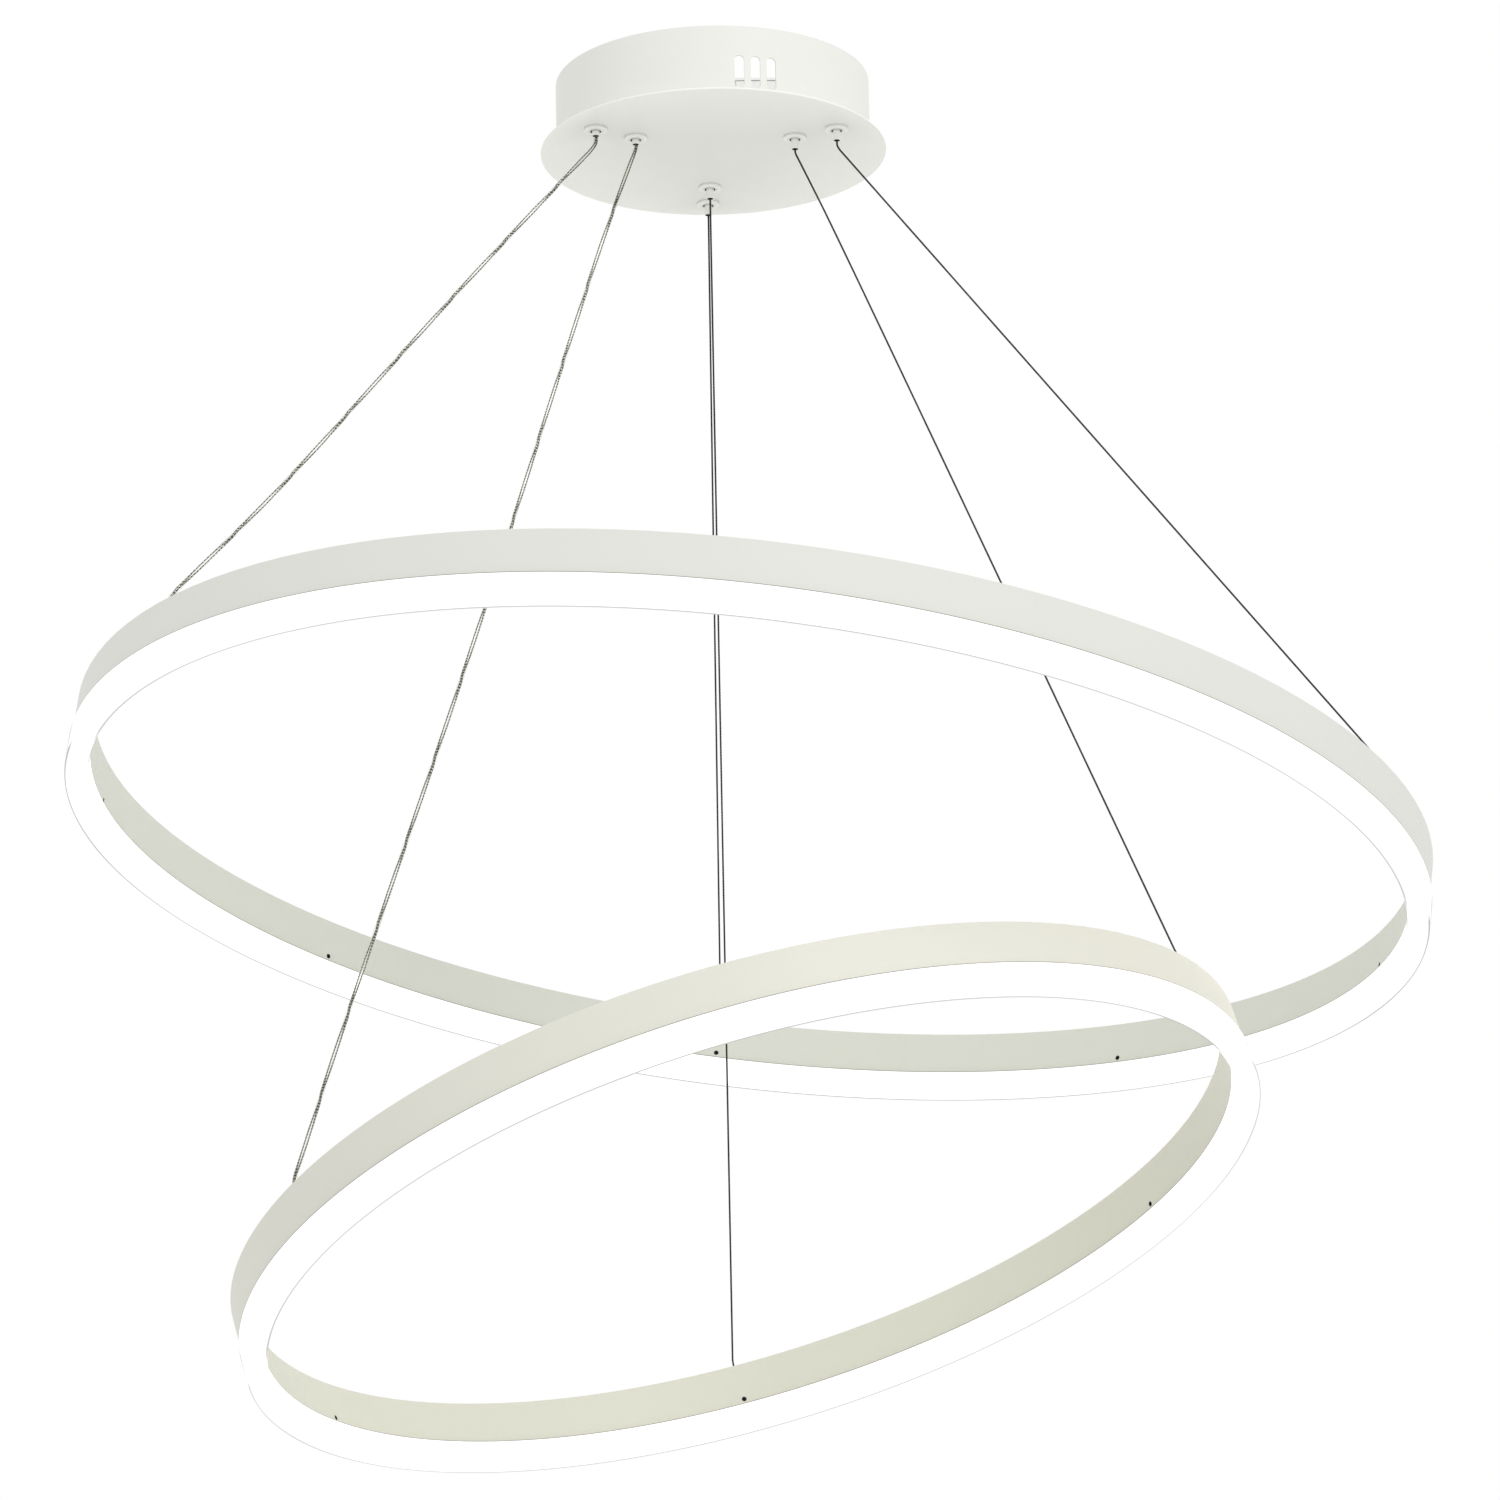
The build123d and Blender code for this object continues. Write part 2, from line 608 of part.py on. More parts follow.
def ring_band(ring):
    radius = mid_r(ring)
    profile = Pos(radius, BAND_H / 2) * RectangleRounded(BAND_W, BAND_H, BAND_EDGE_R)
    profile -= slab(radius, CHANNEL_W, MID_WEB_Z + MID_WEB_T, BAND_H - TOP_WEB_T)
    profile -= slab(radius, CHANNEL_W, -CUT, MID_WEB_Z)
    band = turned(profile)
    for side, azimuth in GRIP_SIDES.items():
        hole = upright(line_d(side) + 2 * WIRE_GAP, TOP_WEB_T + 2 * CUT, BAND_H - TOP_WEB_T - CUT)
        band -= at_azimuth(radius, azimuth) * hole
    hole = along_x(RING_SCREW_D + 2 * THREAD_GAP, BAND_WALL + 2 * CUT, radius - BAND_W / 2 - CUT)
    for azimuth in screw_azimuths(ring):
        band -= Rot(0, 0, azimuth) * Pos(0, 0, RING_SCREW_Z) * hole
    return band


def ring_diffuser(ring):
    radius = mid_r(ring)
    outside = Pos(radius, -DIFFUSER_H / 2) * RectangleRounded(DIFFUSER_W, DIFFUSER_H, DIFFUSER_EDGE_R)
    legs = slab(radius, LEG_W, -DIFFUSER_WALL, LEG_H)
    light_gap = slab(radius, LEG_W - 2 * LEG_T, -DIFFUSER_WALL - CUT, LEG_H + CUT)
    hollow = slab(radius, DIFFUSER_W - 2 * DIFFUSER_WALL, DIFFUSER_WALL - DIFFUSER_H, -DIFFUSER_WALL)
    diffuser = turned(outside + legs - light_gap - hollow)
    inner_face = radius - LEG_W / 2
    hole = along_x(RING_SCREW_D + 2 * LEG_GAP, LEG_T + 2 * LEG_GAP, inner_face - LEG_GAP)
    for azimuth in screw_azimuths(ring):
        diffuser -= Rot(0, 0, azimuth) * Pos(0, 0, RING_SCREW_Z) * hole
    return diffuser


def ring_led_strip(ring):
    return turned(slab(mid_r(ring), STRIP_W, MID_WEB_Z - STRIP_T, MID_WEB_Z))


def ring_led_chips(ring):
    chip = brick(CHIP_SIZE, CHIP_SIZE, CHIP_H, MID_WEB_Z - STRIP_T - CHIP_H)
    step = 360 / ring["chips"]
    return [at_azimuth(mid_r(ring), index * step) * chip for index in range(ring["chips"])]


def ring_screws(ring):
    start = mid_r(ring) - BAND_W / 2 + RING_SCREW_SUNK
    screw = along_x(RING_SCREW_D, RING_SCREW_L, start)
    screw -= Pos(start) * Rot(0, 90, 0) * hexagon(RING_SCREW_SOCKET_AF, RING_SCREW_SOCKET_DEPTH, 0)
    return [Rot(0, 0, azimuth) * Pos(0, 0, RING_SCREW_Z) * screw for azimuth in screw_azimuths(ring)]


def stop_low():
    return BAND_H - TOP_WEB_T - STOP_L


def ring_wire_stops(ring):
    """Sleeves crimped to the ends of the lines, held under the band's top."""
    stops = []
    for side, azimuth in GRIP_SIDES.items():
        stop = upright(STOP_D, STOP_L, stop_low())
        stop -= upright(line_d(side) + 2 * WIRE_GAP, STOP_L, stop_low() + STOP_FLOOR)
        stops.append(at_azimuth(mid_r(ring), azimuth) * stop)
    return stops


def suspension_line(ring, side):
    """Wire or cable from inside the canopy, down through its grip and into the top of the ring."""
    azimuth = GRIP_SIDES[side]
    place = ring_place(ring)
    foot = place * at_azimuth(mid_r(ring), azimuth, BAND_H + FOOT_RISE)
    end = place * at_azimuth(mid_r(ring), azimuth, stop_low() + STOP_FLOOR + WIRE_GAP)
    grip = at_azimuth(ring["grip_r"], azimuth).position
    mouth = Vector(grip.X, grip.Y, PLATE_UNDER + nipple_low(side))
    bend_r = CABLE_BEND_R if side == POWER_SIDE else WIRE_BEND_R
    slant = (foot.position - mouth).normalized()
    turn = acos(-slant.Z)
    corner = mouth - Vector(0, 0, bend_r * tan(turn / 2))
    tail = 0.0 if side == POWER_SIDE else WIRE_TAIL
    top = Vector(grip.X, grip.Y, PLATE_UNDER + BARREL_H + tail)
    points = [top, corner, foot.position, end.position]
    length = sum((b - a).length for a, b in zip(points, points[1:]))
    print(ring["name"], side, "line", round(length, 1), "mm, leans", round(degrees(turn), 1), "degrees")
    return tube_along([tuple(point) for point in points], line_d(side), [bend_r, FOOT_BEND_R])


RINGS = (
    {
        "name": "large", "diameter": LARGE_RING_D,
        "centre": (LARGE_RING_X, LARGE_RING_Y, -LARGE_RING_DROP),
        "tilt": LARGE_RING_TILT, "tilt_az": LARGE_RING_TILT_AZ, "spin": LARGE_RING_SPIN,
        "screws": LARGE_RING_SCREW_COUNT, "chips": LARGE_RING_CHIP_COUNT,
        "grip_r": LARGE_GRIP_R, "elbow": LARGE_CABLE_ELBOW,
    },
    {
        "name": "small", "diameter": SMALL_RING_D,
        "centre": (SMALL_RING_X, SMALL_RING_Y, -SMALL_RING_DROP),
        "tilt": SMALL_RING_TILT, "tilt_az": SMALL_RING_TILT_AZ, "spin": SMALL_RING_SPIN,
        "screws": SMALL_RING_SCREW_COUNT, "chips": SMALL_RING_CHIP_COUNT,
        "grip_r": SMALL_GRIP_R, "elbow": SMALL_CABLE_ELBOW,
    },
)


def build_canopy():
    save("ceiling_bracket", ceiling_bracket())
    save("canopy_drum", canopy_drum())
    save("canopy_plate", canopy_plate())
    save("canopy_set_screws", *canopy_set_screws())
    save("plate_nuts", *plate_nuts())
    save("earth_screw", earth_screw())
    save("terminal_block", terminal_block())
    save("terminal_screws", *terminal_screws())
    save("driver_case", driver_case())
    save("driver_lid", driver_lid())
    save("driver_board", driver_board())
    save("driver_screws", *driver_screws())
    save("mains_lead", mains_lead())
    for index, ring in enumerate(RINGS):
        save(f"{ring['name']}_inner_cable", inner_cable(ring, index))


def build_grips():
    collar = grip_collar()
    spring = grip_spring()
    nut = grip_lock_nut()
    nuts = []
    caps = []
    for ring in RINGS:
        for side, azimuth in GRIP_SIDES.items():
            place = at_azimuth(ring["grip_r"], azimuth, PLATE_UNDER)
            name = f"{ring['name']}_{side}"
            save(f"{name}_grip_collar", place * collar)
            save(f"{name}_grip_spring", place * spring)
            save(f"{name}_grip_plunger", place * grip_plunger(side))
            save(f"{name}_grip_balls", *[place * ball for ball in grip_balls(side)])
            nuts.append(place * nut)
            caps.append(place * grip_cap(side))
    save("grip_lock_nuts", *nuts)
    save("grip_caps", *caps)


def build_rings():
    for ring in RINGS:
        place = ring_place(ring)
        name = ring["name"]
        save(f"{name}_ring_band", place * ring_band(ring))
        save(f"{name}_ring_diffuser", place * ring_diffuser(ring))
        save(f"{name}_ring_led_strip", place * ring_led_strip(ring))
        save(f"{name}_ring_led_chips", *[place * chip for chip in ring_led_chips(ring)])
        save(f"{name}_ring_screws", *[place * screw for screw in ring_screws(ring)])
        save(f"{name}_ring_wire_stops", *[place * stop for stop in ring_wire_stops(ring)])
        for side in GRIP_SIDES:
            kind = "power_cable" if side == POWER_SIDE else "wire"
            save(f"{name}_{side}_{kind}", suspension_line(ring, side))


build_canopy()
build_grips()
build_rings()
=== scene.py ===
# %% [markdown]
# # A two-ring pendant light
# The imported model gives every piece of this lamp its true place, in metres, with the ceiling at
# z = 0 and everything hanging below it. Blender's part is the look: paint, lit diffusers, steel
# wires and clear power cables. Nothing here changes a size.

# %% Load the frame
import math

import bmesh
import bpy
from mathutils import Matrix, Vector


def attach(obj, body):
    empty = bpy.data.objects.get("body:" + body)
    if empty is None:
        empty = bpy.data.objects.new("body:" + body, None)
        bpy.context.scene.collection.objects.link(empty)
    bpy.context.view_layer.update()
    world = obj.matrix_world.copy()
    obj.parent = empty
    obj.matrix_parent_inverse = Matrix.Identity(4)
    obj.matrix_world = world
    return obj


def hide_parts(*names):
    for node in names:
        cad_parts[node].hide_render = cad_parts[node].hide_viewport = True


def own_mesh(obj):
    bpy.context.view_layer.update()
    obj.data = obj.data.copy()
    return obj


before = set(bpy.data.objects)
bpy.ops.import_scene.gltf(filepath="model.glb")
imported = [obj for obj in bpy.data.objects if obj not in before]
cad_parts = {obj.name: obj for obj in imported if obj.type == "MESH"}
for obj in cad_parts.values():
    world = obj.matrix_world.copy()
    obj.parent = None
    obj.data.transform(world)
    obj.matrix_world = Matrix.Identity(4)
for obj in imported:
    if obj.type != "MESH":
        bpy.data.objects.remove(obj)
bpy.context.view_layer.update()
MM = 0.001

# %% [markdown]
# ## Camera
# The photograph looks up at the lamp from below and far away, through a long lens, so that the
# rings keep their shape and hardly taper. The camera is set from three directions: its right, its
# up, and the way it looks. A camera in Blender looks along its own -Z.

# %% Place the camera
scene = bpy.context.scene
CAMERA_AT = Vector((-0.1714, -3.6670, -1.4750))
TURN = math.radians(2.9)
RISE = math.radians(16.06)
ROLL = -0.0213
ahead = Vector((math.cos(RISE) * math.sin(TURN), math.cos(RISE) * math.cos(TURN), math.sin(RISE)))
level = Vector((math.cos(TURN), -math.sin(TURN), 0.0))
above = level.cross(ahead)
right = math.cos(ROLL) * level + math.sin(ROLL) * above
up = math.cos(ROLL) * above - math.sin(ROLL) * level

camera_data = bpy.data.cameras.new("camera")
camera_data.sensor_width = 36.0
camera_data.lens = 156.33
camera_data.clip_end = 60.0
camera = bpy.data.objects.new("camera", camera_data)
scene.collection.objects.link(camera)
camera.matrix_world = Matrix((
    (right.x, up.x, -ahead.x, CAMERA_AT.x),
    (right.y, up.y, -ahead.y, CAMERA_AT.y),
    (right.z, up.z, -ahead.z, CAMERA_AT.z),
    (0.0, 0.0, 0.0, 1.0),
))
scene.camera = camera
scene.view_settings.view_transform = "Standard"
print("camera lens", camera_data.lens, "mm, looks up", round(math.degrees(RISE), 1), "degrees")

# %% [markdown]
# ## Stage
# A lamp like this is photographed in a white room: light comes from all round, and the backdrop is
# pure white. The world gives that light. What the camera, gloss and clear plastic see of it is
# plain white, through the Light Path node, so the object itself gets no extra light from it.
# A pale floor far below shades the faces that look down, as a real room does. One broad lamp, high
# up in front and a little to the right, gives the drum and the tilted bands a change of tone.

# %% World
world = bpy.data.worlds.new("white_room")
scene.world = world
world.use_nodes = True
nodes, links = world.node_tree.nodes, world.node_tree.links
nodes.clear()
paths = nodes.new("ShaderNodeLightPath")
seen = nodes.new("ShaderNodeMath")
seen.operation = "MAXIMUM"
seen_all = nodes.new("ShaderNodeMath")
seen_all.operation = "MAXIMUM"
links.new(paths.outputs["Is Camera Ray"], seen.inputs[0])
links.new(paths.outputs["Is Glossy Ray"], seen.inputs[1])
links.new(seen.outputs[0], seen_all.inputs[0])
links.new(paths.outputs["Is Transmission Ray"], seen_all.inputs[1])
soft = nodes.new("ShaderNodeBackground")
soft.inputs["Color"].default_value = (1.0, 1.0, 1.0, 1.0)
soft.inputs["Strength"].default_value = 0.87
white = nodes.new("ShaderNodeBackground")
white.inputs["Color"].default_value = (1.0, 1.0, 1.0, 1.0)
white.inputs["Strength"].default_value = 1.0
choose = nodes.new("ShaderNodeMixShader")
out = nodes.new("ShaderNodeOutputWorld")
links.new(seen_all.outputs[0], choose.inputs[0])
links.new(soft.outputs[0], choose.inputs[1])
links.new(white.outputs[0], choose.inputs[2])
links.new(choose.outputs[0], out.inputs["Surface"])
print("world", world.name)

# %% Floor and lamp
FLOOR_Z, FLOOR_HALF = -2.2, 6.0
LAMP_TARGET = Vector((0.0, 0.0, -0.45))
bm = bmesh.new()
bmesh.ops.create_grid(bm, x_segments=1, y_segments=1, size=FLOOR_HALF)
bmesh.ops.translate(bm, verts=bm.verts, vec=(0.0, 0.0, FLOOR_Z))
floor_mesh = bpy.data.meshes.new("floor")
bm.to_mesh(floor_mesh)
bm.free()
floor = bpy.data.objects.new("floor", floor_mesh)
scene.collection.objects.link(floor)

lamp_data = bpy.data.lights.new("high_front_lamp", "AREA")
lamp_data.shape = "DISK"
lamp_data.size = 2.0
lamp_data.energy = 44.0
lamp = bpy.data.objects.new("high_front_lamp", lamp_data)
scene.collection.objects.link(lamp)
lamp.location = (1.2, -2.4, 2.5)
lamp.rotation_euler = (LAMP_TARGET - lamp.location).to_track_quat("-Z", "Y").to_euler()
print("floor at", FLOOR_Z, "m, lamp", lamp_data.energy, "W")

# %% [markdown]
# ## Helpers for finishes
# A shader node group is a small recipe that several materials can share. These two helpers start
# a group with named sockets, and start a material with one Principled shader in it.

# %% Start a group, start a material
def new_group(name, inputs, outputs):
    """Shader node group with named sockets: (name, socket type, starting value) for each input."""
    group = bpy.data.node_groups.new(name, "ShaderNodeTree")
    for label, kind, start in inputs:
        socket = group.interface.new_socket(label, in_out="INPUT", socket_type=kind)
        socket.default_value = start
    for label, kind in outputs:
        group.interface.new_socket(label, in_out="OUTPUT", socket_type=kind)
    return group, group.nodes.new("NodeGroupInput"), group.nodes.new("NodeGroupOutput")


def new_finish(name):
    """Material with a Principled shader; returns the material, its shader, nodes and links."""
    material = bpy.data.materials.new(name)
    material.use_nodes = True
    tree = material.node_tree
    shader = tree.nodes["Principled BSDF"]
    return material, shader, tree.nodes, tree.links


SURFACE_OUT = [("Color", "NodeSocketColor"), ("Roughness", "NodeSocketFloat"), ("Normal", "NodeSocketVector")]
print("helpers ready")

# %% [markdown]
# ## Sprayed paint
# The drum, the plate, the grips and the metal bands are sprayed white. Real sprayed paint is never
# quite even: the film ripples a little, like orange peel, its gloss wanders, and its tone drifts
# over a hand's width. The group makes these three from noise on Object coordinates, which are
# metres on the lamp itself, so the grain keeps its true size on every piece.

# %% Group for sprayed paint
paint_group, paint_in, paint_out = new_group(
    "sprayed_paint",
    [
        ("Tone", "NodeSocketColor", (0.8, 0.8, 0.8, 1.0)),
        ("Drift", "NodeSocketFloat", 0.03),
        ("Gloss Low", "NodeSocketFloat", 0.3),
        ("Gloss High", "NodeSocketFloat", 0.42),
        ("Ripple", "NodeSocketFloat", 0.1),
    ],
    SURFACE_OUT,
)
nodes, links = paint_group.nodes, paint_group.links
place = nodes.new("ShaderNodeTexCoord")
cloud = nodes.new("ShaderNodeTexNoise")
cloud.inputs["Scale"].default_value = 9.0
cloud.inputs["Detail"].default_value = 3.0
links.new(place.outputs["Object"], cloud.inputs["Vector"])
loss = nodes.new("ShaderNodeMath")
loss.operation = "MULTIPLY"
links.new(cloud.outputs["Fac"], loss.inputs[0])
links.new(paint_in.outputs["Drift"], loss.inputs[1])
keep_light = nodes.new("ShaderNodeMath")
keep_light.operation = "SUBTRACT"
keep_light.inputs[0].default_value = 1.0
links.new(loss.outputs[0], keep_light.inputs[1])
tone = nodes.new("ShaderNodeVectorMath")
tone.operation = "SCALE"
links.new(paint_in.outputs["Tone"], tone.inputs[0])
links.new(keep_light.outputs[0], tone.inputs["Scale"])
links.new(tone.outputs[0], paint_out.inputs["Color"])
haze = nodes.new("ShaderNodeTexNoise")
haze.inputs["Scale"].default_value = 60.0
links.new(place.outputs["Object"], haze.inputs["Vector"])
gloss = nodes.new("ShaderNodeMapRange")
links.new(haze.outputs["Fac"], gloss.inputs["Value"])
links.new(paint_in.outputs["Gloss Low"], gloss.inputs["To Min"])
links.new(paint_in.outputs["Gloss High"], gloss.inputs["To Max"])
links.new(gloss.outputs[0], paint_out.inputs["Roughness"])
peel = nodes.new("ShaderNodeTexNoise")
peel.inputs["Scale"].default_value = 650.0
peel.inputs["Detail"].default_value = 1.0
links.new(place.outputs["Object"], peel.inputs["Vector"])
ripple = nodes.new("ShaderNodeBump")
ripple.inputs["Distance"].default_value = 0.00004
links.new(paint_in.outputs["Ripple"], ripple.inputs["Strength"])
links.new(peel.outputs["Fac"], ripple.inputs["Height"])
links.new(ripple.outputs[0], paint_out.inputs["Normal"])
print("group", paint_group.name, "with", len(nodes), "nodes")


# %% Painted finishes
def painted(name, tone, drift, gloss_low, gloss_high, ripple):
    """Material in sprayed paint of a tone."""
    material, shader, nodes, links = new_finish(name)
    paint = nodes.new("ShaderNodeGroup")
    paint.node_tree = paint_group
    paint.inputs["Tone"].default_value = (*tone, 1.0)
    paint.inputs["Drift"].default_value = drift
    paint.inputs["Gloss Low"].default_value = gloss_low
    paint.inputs["Gloss High"].default_value = gloss_high
    paint.inputs["Ripple"].default_value = ripple
    links.new(paint.outputs["Color"], shader.inputs["Base Color"])
    links.new(paint.outputs["Roughness"], shader.inputs["Roughness"])
    links.new(paint.outputs["Normal"], shader.inputs["Normal"])
    shader.inputs["Specular IOR Level"].default_value = 0.3
    return material


def shade_where(material, attribute, colour):
    """Multiply a paint's colour by another where a vertex attribute of the piece says so."""
    nodes, links = material.node_tree.nodes, material.node_tree.links
    base = nodes["Principled BSDF"].inputs["Base Color"]
    mask = nodes.new("ShaderNodeAttribute")
    mask.attribute_name = attribute
    mix = nodes.new("ShaderNodeMix")
    mix.data_type = "RGBA"
    mix.blend_type = "MULTIPLY"
    mix.inputs["B"].default_value = (*colour, 1.0)
    links.new(base.links[0].from_socket, mix.inputs["A"])
    links.new(mask.outputs["Fac"], mix.inputs["Factor"])
    links.new(mix.outputs["Result"], base)


drum_paint = painted("drum_white_paint", (0.80, 0.81, 0.765), 0.02, 0.35, 0.48, 0.10)
plate_paint = painted("plate_white_paint", (0.91, 0.92, 0.87), 0.02, 0.35, 0.48, 0.10)
shade_where(plate_paint, "face", (0.875, 0.89, 0.885))
grip_paint = painted("grip_white_paint", (0.90, 0.90, 0.87), 0.02, 0.25, 0.35, 0.06)
band_paint = painted("band_white_paint", (0.755, 0.765, 0.715), 0.02, 0.40, 0.52, 0.06)
# Painted shade, greyer and warmer, on the inner walls of the bands, and painted warm light over the whole
# small ring.
shade_where(band_paint, "inside", (0.88, 0.885, 0.85))
shade_where(band_paint, "painted_warm_light", (1.0, 0.985, 0.945))
floor_paint = painted("pale_floor", (0.88, 0.88, 0.87), 0.02, 0.7, 0.8, 0.05)
floor_mesh.materials.append(floor_paint)
print("paints:", drum_paint.name, plate_paint.name, grip_paint.name, band_paint.name, floor_paint.name)

# %% [markdown]
# ## Plated metal
# The hidden fittings are zinc plated, the wires dark steel and the ring screws blackened. Plating
# is a mirror that fine turning marks blur. Noise squeezed along the height of a turned part gives
# fine rings round it, which change its gloss and tone and dent it a little. The blackened screws
# are dull all over, so the paint group serves them. The same near-black is also painted shade in
# the mouths and bores of the grips.

# %% Group for plated metal
plate_group, plate_in, plate_out = new_group(
    "turned_plating",
    [
        ("Tone", "NodeSocketColor", (0.7, 0.7, 0.7, 1.0)),
        ("Low", "NodeSocketFloat", 0.15),
        ("High", "NodeSocketFloat", 0.3),
    ],
    SURFACE_OUT,
)
nodes, links = plate_group.nodes, plate_group.links
place = nodes.new("ShaderNodeTexCoord")
stretch = nodes.new("ShaderNodeMapping")
stretch.inputs["Scale"].default_value = (120.0, 120.0, 4000.0)
links.new(place.outputs["Object"], stretch.inputs["Vector"])
marks = nodes.new("ShaderNodeTexNoise")
marks.inputs["Scale"].default_value = 1.0
marks.inputs["Detail"].default_value = 2.0
links.new(stretch.outputs[0], marks.inputs["Vector"])
blur = nodes.new("ShaderNodeMapRange")
links.new(marks.outputs["Fac"], blur.inputs["Value"])
links.new(plate_in.outputs["Low"], blur.inputs["To Min"])
links.new(plate_in.outputs["High"], blur.inputs["To Max"])
links.new(blur.outputs[0], plate_out.inputs["Roughness"])
stain = nodes.new("ShaderNodeMapRange")
stain.inputs["To Min"].default_value = 0.9
stain.inputs["To Max"].default_value = 1.05
links.new(marks.outputs["Fac"], stain.inputs["Value"])
tint = nodes.new("ShaderNodeVectorMath")
tint.operation = "SCALE"
links.new(plate_in.outputs["Tone"], tint.inputs[0])
links.new(stain.outputs[0], tint.inputs["Scale"])
links.new(tint.outputs[0], plate_out.inputs["Color"])
grooves = nodes.new("ShaderNodeBump")
grooves.inputs["Strength"].default_value = 0.15
grooves.inputs["Distance"].default_value = 0.00003
links.new(marks.outputs["Fac"], grooves.inputs["Height"])
links.new(grooves.outputs[0], plate_out.inputs["Normal"])
print("group", plate_group.name, "with", len(nodes), "nodes")


# %% Metal finishes
def plated(name, tone, low, high):
    """Material in turned plating of a tone, with its roughness between two values."""
    material, shader, nodes, links = new_finish(name)
    plating = nodes.new("ShaderNodeGroup")
    plating.name = "plating"
    plating.node_tree = plate_group
    plating.inputs["Tone"].default_value = (*tone, 1.0)
    plating.inputs["Low"].default_value = low
    plating.inputs["High"].default_value = high
    links.new(plating.outputs["Color"], shader.inputs["Base Color"])
    links.new(plating.outputs["Roughness"], shader.inputs["Roughness"])
    links.new(plating.outputs["Normal"], shader.inputs["Normal"])
    shader.inputs["Metallic"].default_value = 1.0
    return material


zinc = plated("zinc_plate", (0.62, 0.63, 0.64), 0.28, 0.45)
brass = plated("terminal_brass", (0.76, 0.58, 0.27), 0.22, 0.38)
rope_steel = plated("wire_rope_steel", (0.05, 0.05, 0.05), 0.30, 0.45)
# Near-black: the finish of the ring screws, and painted shade in the mouths and bores of the grips.
black_steel_and_recess_shade = painted("blackened_steel_and_recess_shade", (0.012, 0.012, 0.012), 0.3, 0.45, 0.6, 0.2)
print("metals:", zinc.name, brass.name, rope_steel.name, black_steel_and_recess_shade.name)

# %% [markdown]
# ## Tinned strands of the cables
# Each conductor in a clear cable is a bundle of thin tinned wires laid in a fast twist. Too fine to
# model one by one, the twist is shown by painted highlights and painted shade: light and dark marks
# along the bundle. A Wave texture along the height makes those marks, a few for each centimetre,
# and feeds the tone of the plating.

# %% Finish of the strands
strand_tin = plated("tinned_strand", (0.4, 0.4, 0.35), 0.20, 0.34)
nodes, links = strand_tin.node_tree.nodes, strand_tin.node_tree.links
place = nodes.new("ShaderNodeTexCoord")
twist_glints = nodes.new("ShaderNodeTexWave")
twist_glints.wave_type = "BANDS"
twist_glints.bands_direction = "Z"
twist_glints.inputs["Scale"].default_value = 170.0
twist_glints.inputs["Distortion"].default_value = 1.5
links.new(place.outputs["Object"], twist_glints.inputs["Vector"])
# Painted shade and painted highlights of the twisted strands, from near-black to tin.
glint_and_shade = nodes.new("ShaderNodeMix")
glint_and_shade.data_type = "RGBA"
glint_and_shade.inputs["A"].default_value = (0.03, 0.03, 0.025, 1.0)
glint_and_shade.inputs["B"].default_value = (0.46, 0.46, 0.39, 1.0)
links.new(twist_glints.outputs["Fac"], glint_and_shade.inputs["Factor"])
links.new(glint_and_shade.outputs["Result"], nodes["plating"].inputs["Tone"])
print("finish", strand_tin.name)

# %% [markdown]
# ## Plastics and coated fittings inside the canopy
# The driver, terminal block and leads are moulded plastic, and the bracket is coated white, so that
# what shows through the vent slots is pale. The paint group serves them with a coarser skin.

# %% Plastic finishes
moulded_white = painted("moulded_white", (0.93, 0.93, 0.92), 0.03, 0.5, 0.62, 0.25)
bracket_white = painted("bracket_white", (0.93, 0.93, 0.92), 0.03, 0.4, 0.55, 0.15)
board_green = painted("circuit_board", (0.05, 0.2, 0.09), 0.2, 0.4, 0.55, 0.2)
strip_white = painted("strip_white", (0.78, 0.78, 0.76), 0.04, 0.5, 0.6, 0.1)
phosphor = painted("phosphor_face", (0.85, 0.68, 0.25), 0.1, 0.5, 0.6, 0.1)
print("plastics:", moulded_white.name, bracket_white.name, board_green.name, strip_white.name, phosphor.name)

# %% [markdown]
# ## Finishes on the CAD nodes
# Every CAD node that keeps its own shape gets the finish of the real piece in its material slot.

# %% Dress the CAD nodes
FINISH_BY_ENDING = (
    (("canopy_drum",), drum_paint),
    (("canopy_plate",), plate_paint),
    (("_collar", "_plunger"), grip_paint),
    (("_ring_band",), band_paint),
    (("_ring_screws",), black_steel_and_recess_shade),
    (("earth_screw", "terminal_screws"), brass),
    (("driver_case", "driver_lid", "terminal_block", "mains_lead", "_inner_cable"), moulded_white),
    (("ceiling_bracket",), bracket_white),
    (("driver_board",), board_green),
    (("_led_strip",), strip_white),
    (("_led_chips",), phosphor),
)


def finish_of(node):
    """The finish that a CAD node wears; fittings with no line of their own are zinc plated."""
    for endings, finish in FINISH_BY_ENDING:
        if node.endswith(endings):
            return finish
    return zinc


for node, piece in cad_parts.items():
    piece.data.materials.clear()
    piece.data.materials.append(finish_of(node))
print("dressed", len(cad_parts), "nodes")

# %% [markdown]
# ## Smooth copies
# A CAD mesh is loose flat triangles, which shows as facets on a round drum or band. A copy with its
# corners merged can be shaded smooth, except across its sharp edges, and can carry attributes:
# one number per vertex that a finish can read. Smooth shading alone leaves streaks where a long
# triangle runs from a hole to a rounded rim, so the level faces and the upright round walls of
# these turned pieces get their exact normals. The copy stands for the node from then on.

# %% Copy a node smoothly
SHARP_ANGLE = math.radians(32.0)
LEVEL, UPRIGHT = 0.999, 0.97
MERGE_DIST = 0.002 * MM


def new_piece(name, bm, finishes):
    """Object from a bmesh, smooth but for its sharp edges."""
    mesh = bpy.data.meshes.new(name)
    bm.to_mesh(mesh)
    bm.free()
    for finish in finishes:
        mesh.materials.append(finish)
    mesh.shade_smooth()
    mesh.set_sharp_from_angle(angle=SHARP_ANGLE)
    piece = bpy.data.objects.new(name, mesh)
    scene.collection.objects.link(piece)
    return piece


